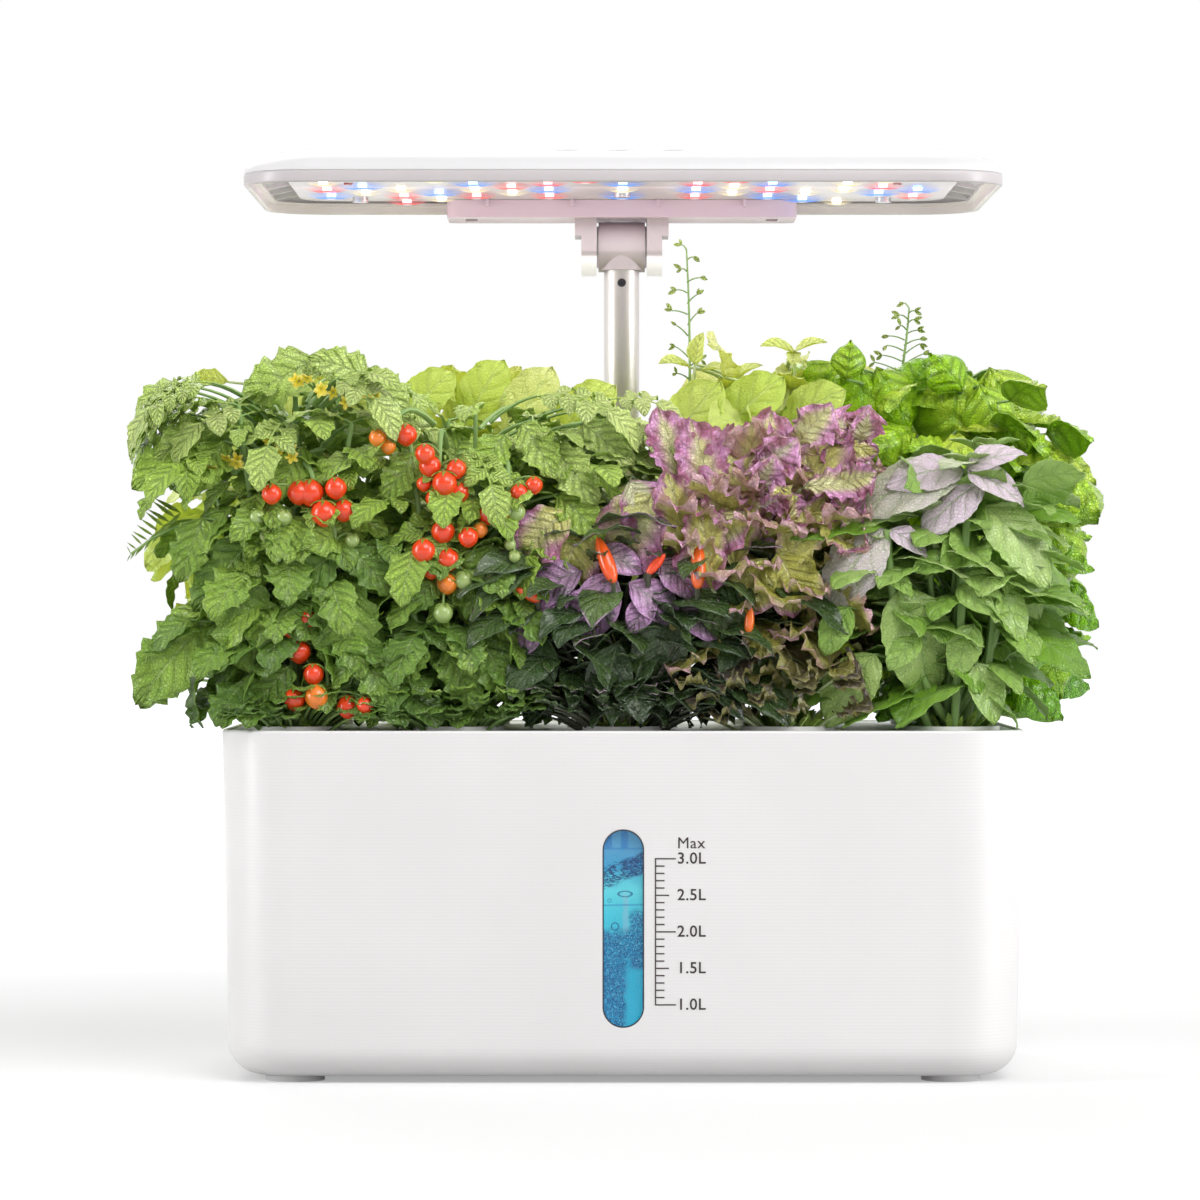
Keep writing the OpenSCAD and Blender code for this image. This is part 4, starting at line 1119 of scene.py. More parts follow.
def blade(name, long, wide, widest=0.42, blunt=0.8, droop=0.9, keel=0.15, teeth=0, tooth=0.0, lobes=0.0,
          ripple=0.0, waves=2.5, frill=1.0, bulge=0.0, veins=6, twist=0.0, cup=0.0, crumple=0.0, along=12,
          across=6):
    """A leaf blade: foot at the origin, growing along +Y with its face up, in mm."""
    bm = leaf_bmesh()
    tint, under = (bm.verts.layers.float[layer] for layer in ("tint", "under"))
    bmesh.ops.create_grid(bm, x_segments=across, y_segments=along, size=1, calc_uvs=True)
    power = math.log(0.5) / math.log(widest)
    phase = (len(name) * 1.7) % 3
    for vert in bm.verts:
        u, v = vert.co.x, (vert.co.y + 1) / 2
        side = 1 if u > 0 else -1
        half = wide / 2 * max(FOOT_WIDTH, math.sin(math.pi * v**power) ** blunt)
        half *= 1 + tooth * (0.5 - (v * teeth + 0.25 * side) % 1.0) * abs(u) ** 3
        half *= 1 + lobes * math.sin(2 * math.pi * 3.2 * v + phase + side) * abs(u) ** 2
        quilt = abs(math.sin(math.pi * veins * (v - 0.28 * abs(u)))) * (1 - u * u)
        high = keel * half * abs(u) ** 1.3 - cup * half * u * u
        wave = math.sin(2 * math.pi * waves * v + phase + 1.3 * side)
        high += ripple * long * abs(u) ** (3 * frill) * wave
        high += bulge * wide * quilt * math.sin(math.pi * min(1, abs(u) * 1.8 + 0.1))
        spot = Vector((u * half, v * long, 7 * phase)) * CRUMPLE_SCALE
        high += crumple * noise.noise(spot) * (0.3 + abs(u))
        bend = droop * v
        run, fall = long * math.sin(bend) / droop, long * (1 - math.cos(bend)) / droop
        turned = twist * v
        x = u * half * math.cos(turned) - high * math.sin(turned)
        lift = u * half * math.sin(turned) + high * math.cos(turned)
        vert.co = (x, run + lift * math.sin(bend), lift * math.cos(bend) - fall)
    top = set(bm.verts)
    bmesh.ops.solidify(bm, geom=bm.faces[:], thickness=LEAF_THICK)
    for vert in bm.verts:
        vert[tint] = 0.5
        vert[under] = 0.0 if vert in top else 1.0
    if bm.calc_volume(signed=True) < 0:
        bmesh.ops.reverse_faces(bm, faces=bm.faces)
    return mesh_from(name, bm)


def aim(place, heading, face=(0, 0, 1), size=1.0):
    """Sets +Y along a heading and +Z as near as it can be to the way the face looks."""
    along = Vector(heading).normalized()
    across = along.cross(Vector(face))
    across = across.normalized() if across.length > 1e-4 else Vector((1, 0, 0))
    turned = Matrix((across, along, across.cross(along))).transposed().to_4x4()
    return Matrix.Translation(Vector(place)) @ turned @ Matrix.Scale(size, 4)


class Growth:
    """Copies of small meshes gathered into one bmesh, with a tint for each copy."""

    def __init__(self, low=None, high=None):
        self.bm = leaf_bmesh()
        self.low, self.high = low, high
        self.count = 0

    def squeeze(self, points, anchor):
        """Draws a leaf that pokes out of the garden back towards its foot."""
        for axis in range(3):
            column = points[:, axis]
            for limit, edge in ((self.low[axis], column.min()), (self.high[axis], column.max())):
                outside = edge < limit if limit == self.low[axis] else edge > limit
                reach = edge - anchor[axis]
                if outside and abs(reach) > SHORTEST_REACH:
                    keep = max(LEAST_KEPT, (limit - anchor[axis]) / reach)
                    beyond = (column - anchor[axis]) * reach > 0
                    column[beyond] = anchor[axis] + (column[beyond] - anchor[axis]) * keep

    def clears_parts(self, points):
        """Bends a leaf round the pole. No to one that fills the pole's place or the flap's swing."""
        off = numpy.hypot(points[:, 0], points[:, 1] - POLE_Y)
        if off.min() < POLE_CORE:
            return False
        near = off < POLE_CLEAR
        points[near, 0] *= POLE_CLEAR / off[near]
        points[near, 1] = POLE_Y + (points[near, 1] - POLE_Y) * POLE_CLEAR / off[near]
        swing = numpy.hypot(points[:, 1] - flap_high.y, points[:, 2] - flap_low.z)
        return not ((abs(points[:, 0]) < FLAP_SIDE) & (swing < FLAP_SWING)).any()

    def add(self, mesh, matrix, tint=0.5):
        copy = mesh.copy()
        copy.transform(matrix)
        if self.low is not None:
            points = numpy.empty(len(copy.vertices) * 3, numpy.float32)
            copy.vertices.foreach_get("co", points)
            points = points.reshape(-1, 3)
            self.squeeze(points, matrix.translation)
            if not self.clears_parts(points):
                bpy.data.meshes.remove(copy)
                return
            copy.vertices.foreach_set("co", points.ravel())
        values = [tint] * len(copy.vertices)
        copy.attributes["tint"].data.foreach_set("value", values)
        self.bm.from_mesh(copy)
        bpy.data.meshes.remove(copy)
        self.count += 1


def compound(name, side, end, pairs, long, droop):
    """A leaf of leaflets: pairs along a stalk and one at its end."""

    def spine(v):
        bend = droop * v
        return Vector((0, long * math.sin(bend) / droop, -long * (1 - math.cos(bend)) / droop))

    growth = Growth()
    for pair in range(pairs + 1):
        v = (pair + 1) / (pairs + 1)
        bend = droop * v
        ahead = Vector((0, math.cos(bend), -math.sin(bend)))
        up = Vector((0, math.sin(bend), math.cos(bend)))
        if pair == pairs:
            growth.add(end, aim(spine(v), ahead, up))
            continue
        for hand in (-1, 1):
            heading = Vector((hand, 0.55 * ahead.y, 0.55 * ahead.z + 0.1))
            start = spine(v - 0.06 * hand) + Vector((hand * 0.4, 0, 0))
            growth.add(side, aim(start, heading, up, 0.62 + 0.34 * v))
    bm = growth.bm
    places = [spine(step / 5) for step in range(6)]
    upright = aim(places[0], (0, 0, 1), (0, 1, 0))
    ring = bmesh.ops.create_circle(bm, segments=5, radius=SPINE_RADIUS, matrix=upright)
    edges = edges_of(ring["verts"])
    for low, high in zip(places, places[1:]):
        grown = bmesh.ops.extrude_edge_only(bm, edges=edges)["geom"]
        verts = [item for item in grown if isinstance(item, bmesh.types.BMVert)]
        bmesh.ops.translate(bm, vec=high - low, verts=verts)
        edges = [item for item in grown if isinstance(item, bmesh.types.BMEdge) and item.is_boundary]
    return mesh_from(name, bm)


TOMATO_STYLE = {
    "blunt": 0.66, "keel": 0.16, "tooth": 0.3, "lobes": 0.1, "ripple": 0.03, "bulge": 0.07, "crumple": 2.6,
}
TOMATO_SIDE, TOMATO_END, TOMATO_BIG, TOMATO_WILD = [
    blade(name, long, wide, widest, droop=droop, teeth=teeth, veins=veins, twist=twist, along=along,
          across=across, **TOMATO_STYLE)
    for name, long, wide, widest, droop, teeth, veins, twist, along, across in (
        ("tomato_side", 17, 12, 0.36, 0.75, 4, 5, 0.0, 8, 4),
        ("tomato_end", 24, 16, 0.38, 0.8, 5, 6, 0.0, 10, 4),
        ("tomato_big", 38, 22, 0.4, 0.55, 6, 8, 0.15, 22, 8),
        ("tomato_wild", 32, 18, 0.42, 1.2, 5, 7, -0.5, 14, 6),
    )
]
TOMATO_LEAVES = [
    compound("tomato_leaf_a", TOMATO_SIDE, TOMATO_END, 2, 26, 0.7),
    compound("tomato_leaf_b", TOMATO_SIDE, TOMATO_END, 3, 34, 0.9),
    compound("tomato_leaf_c", TOMATO_SIDE, TOMATO_END, 1, 16, 0.4),
]
BASIL_STYLE = {"widest": 0.42, "blunt": 0.7, "tooth": 0.1, "veins": 5, "bulge": 0.035, "crumple": 1.2}
BASIL_LEAVES = [
    blade("basil_a", 34, 21, droop=0.9, keel=0.1, cup=0.1, teeth=9, along=18, across=8, **BASIL_STYLE),
    blade("basil_b", 26, 16, droop=0.7, keel=0.2, teeth=8, twist=0.3, along=14, **BASIL_STYLE),
    blade("basil_c", 15, 9, droop=0.5, keel=0.35, teeth=6, along=10, **BASIL_STYLE),
]
GLOSSY_STYLE = {"blunt": 0.56, "keel": -0.08, "veins": 5, "bulge": 0.1, "crumple": 1.2}
GLOSSY_LEAVES = [
    blade("glossy_a", 36, 30, 0.46, droop=1.5, cup=0.42, along=18, across=10, **GLOSSY_STYLE),
    blade("glossy_b", 28, 22, 0.46, droop=1.2, cup=0.3, twist=0.2, along=14, across=8, **GLOSSY_STYLE),
    blade("glossy_c", 18, 12, 0.42, droop=-0.5, cup=-0.5, along=10, **GLOSSY_STYLE),
]
CHILI_STYLE = {"blunt": 0.85, "ripple": 0.02, "bulge": 0.02, "crumple": 1.0}
CHILI_LEAVES = [
    blade("chili_a", 36, 13, 0.4, droop=1.0, keel=0.25, veins=7, along=12, **CHILI_STYLE),
    blade("chili_b", 28, 13, 0.42, droop=0.7, keel=0.3, veins=6, twist=0.5, along=12, **CHILI_STYLE),
    blade("chili_c", 20, 10, 0.42, droop=0.4, keel=0.35, veins=5, along=10, **CHILI_STYLE),
    blade("chili_d", 28, 17, 0.45, droop=1.0, keel=0.15, veins=6, along=16, across=8, **CHILI_STYLE),
]
FRILL_STYLE = {"veins": 6, "bulge": 0.03, "crumple": 3.5, "keel": 0.25, "frill": 2.2}
LETTUCE_LEAVES = [
    blade(name, long, wide, widest, blunt, droop, teeth=teeth, tooth=tooth, lobes=lobes, ripple=ripple,
          waves=waves, twist=twist, along=along, across=across, **FRILL_STYLE)
    for name, long, wide, widest, blunt, droop, teeth, tooth, lobes, ripple, waves, twist, along, across in (
        ("frilled_a", 46, 22, 0.62, 0.6, 0.6, 8, 0.2, 0.0, 0.06, 6.5, 0.0, 30, 10),
        ("frilled_b", 34, 22, 0.66, 0.55, 1.0, 7, 0.3, 0.0, 0.08, 5.6, 0.4, 24, 10),
        ("frilled_c", 20, 16, 0.6, 0.5, 0.4, 5, 0.5, 0.0, 0.16, 3.7, -0.8, 16, 8),
        ("broad_d", 30, 27, 0.56, 0.5, 1.1, 0, 0.0, 0.06, 0.05, 2.7, 0.0, 20, 10),
    )
]
SALAD_STYLE = {"blunt": 0.65, "tooth": 0.12, "ripple": 0.03, "bulge": 0.03, "crumple": 2.0}
SALAD_LEAVES = [
    blade(
        "salad_a", 46, 27, 0.55, droop=1.0, keel=0.12, teeth=10, veins=7, along=18, across=8, **SALAD_STYLE
    ),
    blade(
        "salad_b", 34, 20, 0.5, droop=0.7, keel=0.2, teeth=8, veins=6,
        twist=0.4, along=14, across=8, **SALAD_STYLE
    ),
    blade("salad_c", 22, 12, 0.5, droop=0.4, keel=0.3, teeth=6, veins=5, along=10, **SALAD_STYLE),
]
print("leaf blades:", sum("_" in mesh.name for mesh in bpy.data.meshes))

# %% [markdown]
# A leaf's finish reads its own UV map: across for the distance from the midrib, along for
# the side veins, which leave the midrib at a slant. The tint of each copy picks its colour
# from painted shade through painted sunlight to the painted pale cast of the grow light on
# the topmost leaves; for the lettuce it partly stands for the leaf's own colour too, from
# dark purple to yellow-green. The grooves between the bulges and the net of veinlets are
# darkened towards the shade colour: painted shade in the creases. The underside is paler,
# and light shines through a little.

# %% Leaf finishes
BRIGHTER_THROUGH = 1.3


def leaf_finish(name, shade, green, sun, lit, vein, veins, gloss, coat, relief, painted_groove_shade=0.1, shine=0.2,
                edge=None, flushed=None, edge_tint=0.0, edge_from=0.0):
    finish = Finish(name)
    here = finish.place()
    u, v, _ = finish.axes(finish.node("ShaderNodeUVMap", {"uv_map": "leaf"}))
    off = ((u - 0.5) * 2).math("ABSOLUTE")
    cloud = finish.noise(here, 55, 4, 0.6)
    fine = finish.noise(here, 700, 3, 0.6)
    # Painted light and shade: the tint of each copy picks its colour from shade through sun to the grow
    # light's cast.
    level = finish.attribute("tint") + (cloud - 0.5) * 0.4
    color = finish.ramp(level, (0.0, shade), (0.3, green), (0.65, sun), (1.0, lit))
    if edge:
        reach = off * 0.7 + v * 0.6 + cloud * 0.9 + finish.attribute("tint") * edge_tint
        reach = reach.step(edge_from, edge_from + 0.45)
        color = finish.mix(reach, color, edge)
        flush = finish.noise(here, 130, 3, 0.6).step(0.45, 0.6)
        color = finish.mix(flush * reach * 0.8, color, flushed)
    slant = ((v - off * 0.28 + cloud * 0.1) * veins).math("PINGPONG", 0.5) * 2
    ribs = (1 - slant.step(0.02, 0.12)) * (1 - off.step(0.7, 0.95))
    lines = ((1 - off.step(0.02, 0.07)) + ribs * 0.55).math("MINIMUM", 1)
    net = 1 - finish.cells(here, 800, "DISTANCE_TO_EDGE").step(0.02, 0.16)
    pillow = slant.step(0.0, 0.6) * (1 - off.step(0.7, 1.0))
    # Painted shade: the grooves between the bulges and the net of veinlets darken towards the shade colour.
    color = finish.mix((1 - pillow) * painted_groove_shade, color, shade)
    color = finish.mix(lines * 0.5, color, vein)
    color = finish.mix(net * 0.12, color, shade)
    pale = tuple(min(1, part * 0.85 + 0.04) for part in green)
    color = finish.mix(finish.attribute("under") * 0.4, color, pale)
    height = pillow * 0.6 - net * 0.35 - lines * 0.4 + cloud * 0.8 + fine * 0.15
    surface = finish.principled(
        Base_Color=color,
        Roughness=fine * 0.15 + (gloss - 0.05),
        Normal=finish.bump(height, 1.0, relief),
        Coat_Weight=coat,
        Coat_Roughness=0.22,
    )
    through = tuple(min(1, part * BRIGHTER_THROUGH) for part in sun)
    glow = finish.node("ShaderNodeBsdfTranslucent", sockets={"Color": through})
    return finish.finish(finish.node("ShaderNodeMixShader", sockets={0: shine, 1: surface, 2: glow}))


TOMATO_LEAF = leaf_finish(
    "tomato_leaf", (0.035, 0.1, 0.015), (0.21, 0.38, 0.055), (0.56, 0.82, 0.12), (0.86, 1.0, 0.36),
    (0.5, 0.65, 0.25), veins=6, gloss=0.4, coat=0.25, relief=1.1, painted_groove_shade=0.16,
)
BASIL_LEAF = leaf_finish(
    "basil_leaf", (0.045, 0.11, 0.01), (0.24, 0.47, 0.04), (0.56, 0.76, 0.24), (1.0, 0.8, 0.97),
    (0.42, 0.62, 0.22), veins=4, gloss=0.32, coat=0.3, relief=0.7,
)
GLOSSY_LEAF = leaf_finish(
    "basil_bright", (0.03, 0.13, 0.001), (0.19, 0.52, 0.004), (0.48, 0.88, 0.012), (0.8, 1.0, 0.1),
    (0.34, 0.72, 0.05), veins=4, gloss=0.2, coat=0.5, relief=1.4, painted_groove_shade=0.3,
)
CHILI_LEAF = leaf_finish(
    "chili_leaf", (0.012, 0.026, 0.008), (0.05, 0.105, 0.022), (0.16, 0.26, 0.06), (0.7, 0.4, 0.68),
    (0.2, 0.28, 0.12), edge=(0.92, 0.5, 0.92), flushed=(0.07, 0.1, 0.06), edge_tint=1.6, edge_from=2.3,
    veins=6, gloss=0.25, coat=0.5, shine=0.06, relief=0.9,
)
LETTUCE_LEAF = leaf_finish(
    "lettuce_leaf", (0.06, 0.035, 0.035), (0.56, 0.55, 0.1), (1.0, 0.98, 0.32), (1.0, 1.0, 0.78),
    (0.95, 0.9, 0.5), edge=(1.0, 0.46, 0.88), flushed=(0.5, 0.1, 0.24), edge_tint=0.9, edge_from=1.62,
    veins=6, gloss=0.28, coat=0.4, relief=1.0,
)
SALAD_LEAF = leaf_finish(
    "salad_leaf", (0.26, 0.46, 0.03), (0.58, 0.86, 0.1), (0.8, 1.0, 0.24), (0.98, 1.0, 0.55),
    (0.82, 1.0, 0.48), veins=5, gloss=0.36, coat=0.25, shine=0.4, relief=0.7,
)


def fruit_finish(name, young, turning, ripe):
    """Skin that ripens with its tint: green, orange, red."""
    finish = Finish(name)
    here = finish.place()
    cloud = finish.noise(here, 120, 3)
    pores = finish.noise(here, 1500, 2)
    level = finish.attribute("tint") + (cloud - 0.5) * 0.16
    return finish.plain(
        Base_Color=finish.ramp(level, (0.1, young), (0.5, turning), (0.85, ripe)),
        Roughness=cloud * 0.1 + 0.24,
        Normal=finish.bump(pores, 0.08, 0.05),
        Coat_Weight=0.5,
        Coat_Roughness=0.1,
    )


TOMATO_SKIN = fruit_finish("tomato_skin", (0.33, 0.46, 0.14), (0.88, 0.26, 0.02), (0.84, 0.055, 0.008))
CHILI_SKIN = fruit_finish("chili_skin", (0.2, 0.3, 0.05), (0.95, 0.26, 0.02), (0.92, 0.07, 0.01))


def stalk_finish(name, low, high):
    finish = Finish(name)
    streaks = finish.noise(finish.place((1, 1, 0.12)), 600, 3, 0.6)
    cloud = finish.noise(finish.place(), 40, 3)
    hairs = finish.noise(finish.place(), 2500, 2)
    return finish.plain(
        Base_Color=finish.mix(cloud * 0.6 + streaks * 0.4, low, high),
        Roughness=streaks * 0.15 + 0.45,
        Normal=finish.bump(hairs + streaks, 0.3, 0.12),
    )


GREEN_STALK = stalk_finish("green_stalk", (0.14, 0.28, 0.06), (0.36, 0.52, 0.18))
DARK_STALK = stalk_finish("dark_stalk", (0.05, 0.07, 0.04), (0.16, 0.16, 0.11))
PALE_STALK = stalk_finish("pale_stalk", (0.5, 0.62, 0.3), (0.75, 0.85, 0.5))


def peat_finish():
    finish = Finish("peat")
    here = finish.place()
    crumbs = finish.cells(here, 650)
    cloud = finish.noise(here, 180, 5, 0.7)
    return finish.plain(
        Base_Color=finish.ramp(
            cloud, (0.3, (0.03, 0.02, 0.012)), (0.55, (0.11, 0.075, 0.04)), (0.7, (0.1, 0.14, 0.04))
        ),
        Roughness=crumbs * 0.1 + 0.85,
        Normal=finish.bump(crumbs + cloud, 0.9, 1.2),
    )


PEAT = peat_finish()

# %% [markdown]
# A plant is a bundle of shoots. Each shoot is a curve from the plug to a tip, and leaves
# leave it one after another at the golden angle, smaller towards the tip. Between the
# shoots a thicket of leaves fills the heart of the plant, and more leaves follow the faces
# of its solid. A leaf of a shoot that would poke into a neighbour or the pole is made
# smaller until it fits, or left out. All stalks of a plant are one curve object with a
# round section, moved out of the pole and made a mesh at the end.

# %% Plants
GOLDEN = math.radians(137.5)
PLUG_TOP = box_mm("basket_1")[1].z - 1.2
GARDEN_LOW = Vector((-167.5, -79.2, PLUG_TOP + 0.6))
GARDEN_HIGH = Vector((167.5, 79.2, 262))
POLE_ROOM = 13
PLUG_RADIUS, PLUG_DEEP, PLUG_EDGE, MOSS_LEAVES = 12.2, 28, 1.5, 70
SHOOT_STEPS = 8
SHADE_Z = 120
MOSS_LEAF = blade("moss_leaf", 5.5, 1.8, 0.5, droop=0.5, keel=0.3, along=4, across=2)


class Plant:
    """One plant in its pod: leaves, stalks and fruit, grown into the cell it may fill."""

    def __init__(self, name, pod, low_x, high_x, low_y, high_y, top, slot):
        self.name, self.slot = name, slot
        basket_low, basket_high = box_mm(f"basket_{pod}")
        self.foot = (basket_low + basket_high) / 2
        self.foot.z = PLUG_TOP
        self.low = Vector((low_x, low_y, PLUG_TOP + 2))
        self.high = Vector((high_x, high_y, top))
        self.leaves = Growth(GARDEN_LOW, GARDEN_HIGH)
        self.fruit = Growth()
        self.paths = []
        self.random = random.Random(name)

    def vary(self, reach):
        return self.random.uniform(-reach, reach)

    def fits(self, place):
        inside = all(self.low[i] <= place[i] <= self.high[i] for i in range(3))
        return inside and math.hypot(place.x, place.y - POLE_Y) > POLE_ROOM

    def leaf(self, kind, place, heading, face, size, tint, stalk):
        """Sets a leaf on a short stalk where there is room."""
        along = Vector(heading).normalized()
        long = max(vert.co.length for vert in kind.vertices)
        for shrink in (1.0, 0.8, 0.62):
            start = place + along * stalk * shrink
            if self.fits(start + along * long * size * shrink * 0.85):
                self.leaves.add(kind, aim(start, along, face, size * shrink), tint)
                if stalk:
                    bow = (place + start) / 2 + rise_of(0.4)
                    self.paths.append([(place, 0.55), (bow, 0.5), (start, 0.45)])
                return

    def shoot(self, tip, bow=(0, 0, 0), thick=1.6, thin=0.8):
        """A bowed stem from the plug to a tip; gives its place at any share of its way."""
        spread = Vector((self.vary(4), self.vary(4), -1))
        start, end = self.foot + spread, Vector(tip)
        pull = (start + end) / 2 + Vector(bow)

        def at(t):
            return start * (1 - t) ** 2 + pull * 2 * t * (1 - t) + end * t * t

        steps = range(SHOOT_STEPS + 1)
        self.paths.append([(at(i / SHOOT_STEPS), thick + (thin - thick) * i / SHOOT_STEPS) for i in steps])
        return at

    def clothe(self, at, kinds, count, first, size, pitch, tints, stalk, turn=GOLDEN):
        """Leaves along a shoot. Values given in pairs run from its foot to its tip."""
        angle = self.random.uniform(0, 2 * math.pi)
        for step in range(count):
            share = step / max(1, count - 1)
            angle += turn
            rise = part_way(pitch, share) + self.vary(0.15)
            heading = on_circle(angle, math.cos(rise), math.sin(rise))
            scale = part_way(size, share) * self.random.uniform(0.85, 1.12)
            tint = part_way(tints, share) + self.vary(0.1)
            kind = self.random.choice(kinds)
            self.leaf(kind, at(part_way((first, 1), share)), heading, (0, 0, 1), scale, tint, stalk * scale)

    def thicket(self, kinds, count, low, high, size, tints, lift=0.1):
        """Leaves all through a box, each on a stalk from the plant's middle."""
        for _ in range(count):
            place = Vector([self.random.uniform(a, b) for a, b in zip(low, high)])
            share = (place.z - low[2]) / max(1, high[2] - low[2])
            axis = Vector((self.foot.x * 0.6 + place.x * 0.4, self.foot.y * 0.7 + place.y * 0.3, place.z - 9))
            out = place - axis
            heading = Vector((out.x, out.y, 0)).normalized() + Vector((0, -0.35, lift + self.vary(0.3)))
            tint = part_way(tints, share) + self.vary(0.12)
            if self.fits(place):
                self.paths.append([(axis, 0.7), ((axis + place) / 2 + rise_of(3), 0.6), (place, 0.45)])
                scale = size * self.random.uniform(0.75, 1.15)
                self.leaves.add(self.random.choice(kinds), aim(place, heading, (0, -0.5, 1), scale), tint)

    def follow(self, kinds, count, size, tints):
        """Leaves on the upward faces of the plant's own solid, pointing away from its stem."""
        mesh = bpy.data.objects[self.name].data
        faces = [face for face in mesh.polygons if face.normal.z > 0.3 and face.center.z / MM > PLUG_TOP + 8]
        for face in self.random.choices(faces, [face.area for face in faces], k=count):
            a, b = sorted((self.random.random(), self.random.random()))
            corners = [mesh.vertices[index].co / MM for index in face.vertices[:3]]
            place = corners[0] * a + corners[1] * (b - a) + corners[2] * (1 - b)
            kind = self.random.choice(kinds)
            scale = size * self.random.uniform(0.75, 1.1)
            out = Vector((place.x - self.foot.x, place.y - self.foot.y, 0)).normalized()
            slope = out - face.normal * out.dot(face.normal)
            heading = slope + Vector([self.vary(0.35) for _ in range(3)])
            start = place - slope * scale * kind.vertices[-1].co.length * 0.4
            tint = tints[0] + (tints[1] - tints[0]) * (place.z - SHADE_Z) / SHADE_Z + self.vary(0.12)
            self.leaves.add(kind, aim(start, heading, face.normal, scale), tint)
            axis = Vector((self.foot.x, self.foot.y, start.z - 6))
            self.paths.append([(axis, 0.8), ((axis + start) / 2 + rise_of(2), 0.7), (start, 0.45)])

    def hero(self, kind, base, tip, tint, face=(0, -1, 0.35), root=None):
        """A listed leaf: from its foot to its tip, both (x, y, z)."""
        base, tip = Vector(base), Vector(tip)
        size = (tip - base).length / max(vert.co.length for vert in kind.vertices)
        self.leaves.add(kind, aim(base, tip - base, face, size), tint)
        inward = Vector((self.foot.x * 0.7 + base.x * 0.3, self.foot.y * 0.75 + base.y * 0.25, base.z - 12))
        root = Vector(root) if root else inward
        self.paths.append([(root, 0.9), ((root + base) / 2 + rise_of(5), 0.75), (base, 0.55)])

    def heroes(self, kind, rows, face=(0, -1, 0.35)):
        """Leaves placed one by one, given as (foot, tip, tint)."""
        for base, tip, tint in rows:
            self.hero(kind, base, tip, tint, face)

    def stem(self, *points):
        """A stalk through points given as (x, y, z, radius)."""
        self.paths.append([(Vector(point[:3]), point[3]) for point in points])

    def plug(self, body):
        """The peat plug with moss on its top."""
        growth = Growth()
        for _ in range(MOSS_LEAVES):
            angle = self.random.uniform(0, 2 * math.pi)
            far = PLUG_RADIUS * math.sqrt(self.random.random())
            place = self.foot + on_circle(angle, far, -0.6)
            lean_out = on_circle(angle) * self.random.uniform(0.1, 1.2)
            heading = lean_out + rise_of(self.random.uniform(0.7, 1.2))
            matrix = aim(place, heading, (0, -1, 1), self.random.uniform(0.7, 1.5))
            growth.add(MOSS_LEAF, matrix, self.random.uniform(0.3, 0.9))
        make_piece(f"{self.name}_moss", growth.bm, TOMATO_LEAF, body, sharp=60)
        bm = bmesh.new()
        bmesh.ops.create_cone(
            bm, cap_ends=True, segments=36,
            radius1=PLUG_RADIUS - PLUG_EDGE, radius2=PLUG_RADIUS, depth=PLUG_DEEP
        )
        caps = [face for face in bm.faces if len(face.verts) > 4]
        bmesh.ops.inset_region(bm, faces=caps, thickness=PLUG_EDGE)
        bmesh.ops.subdivide_edges(bm, edges=bm.edges[:], cuts=2, use_grid_fill=True)
        bmesh.ops.translate(bm, vec=self.foot - rise_of(PLUG_DEEP / 2), verts=bm.verts)
        for vert in bm.verts:
            if vert.co.z > PLUG_TOP - 2:
                vert.co.z += 0.7 * noise.noise(vert.co * 0.35) - 0.4
        make_piece(f"{self.name}_plug", bm, PEAT, body, sharp=60)

    def finish(self, leaf_material, stalk_material, fruit_material=None):
        """Makes the pieces of the plant; the leaves stand for its solid."""
        body = "pod_" + self.name
        leaves = make_piece(
            f"{self.name}_leaves", self.leaves.bm, leaf_material, body, [self.name], 60
        )
        stalks(f"{self.name}_stalks", self.paths, stalk_material, body)
        if self.fruit.count:
            make_piece(f"{self.name}_fruit", self.fruit.bm, fruit_material, body, sharp=60)
        self.plug(body)
        print(self.name, "leaves:", self.leaves.count, "faces:", len(leaves.data.polygons))


def beside_pole(place):
    """A point of a stalk, moved out of the pole."""
    off = Vector((place[0], place[1] - POLE_Y, 0))
    return Vector(place) + off.normalized() * max(0.0, POLE_CLEAR - off.length)


def stalks(name, paths, material, body):
    """Round stalks along smooth paths of (place, radius)."""
    curve = bpy.data.curves.new(name, "CURVE")
    curve.dimensions = "3D"
    curve.bevel_depth = 1.0
    curve.bevel_resolution = 1
    curve.use_fill_caps = True
    for path in paths:
        spline = curve.splines.new("NURBS")
        spline.points.add(len(path) - 1)
        for point, (place, radius) in zip(spline.points, path):
            point.co = (*beside_pole(place), 1)
            point.radius = radius
        spline.order_u = min(3, len(path))
        spline.use_endpoint_u = True
        spline.resolution_u = 3
    maker = add_object(name, curve)
    bm = bmesh.new()
    bm.from_mesh(shown_mesh(maker))
    bpy.data.objects.remove(maker)
    return make_piece(name, bm, material, body, sharp=60)


def cherry():
    """A small tomato of radius 1 hanging under the origin, dimpled at its stalk."""
    bm = leaf_bmesh()
    bmesh.ops.create_uvsphere(bm, u_segments=20, v_segments=14, radius=1)
    for vert in bm.verts:
        low = max(0.0, -vert.co.z)
        vert.co.z = vert.co.z * 0.96 - 0.12 * low**8
        vert.co.z -= 1 - 0.16 * max(0.0, vert.co.z) ** 10
    return mesh_from("cherry", bm)


SMALL_STYLE = {"keel": 0.3, "across": 2}
SEPAL = blade("sepal", 4.2, 1.1, 0.3, 1.0, 0.9, along=6, **SMALL_STYLE)
FEATHER = blade("feather", 9, 1.3, 0.4, 1.0, 0.5, along=5, **SMALL_STYLE)
PETAL = blade("petal", 4.6, 2.4, 0.5, 0.7, 0.5, keel=0.3, along=6, across=3)
CHERRY = cherry()
TRUSS_HANG = 4.0


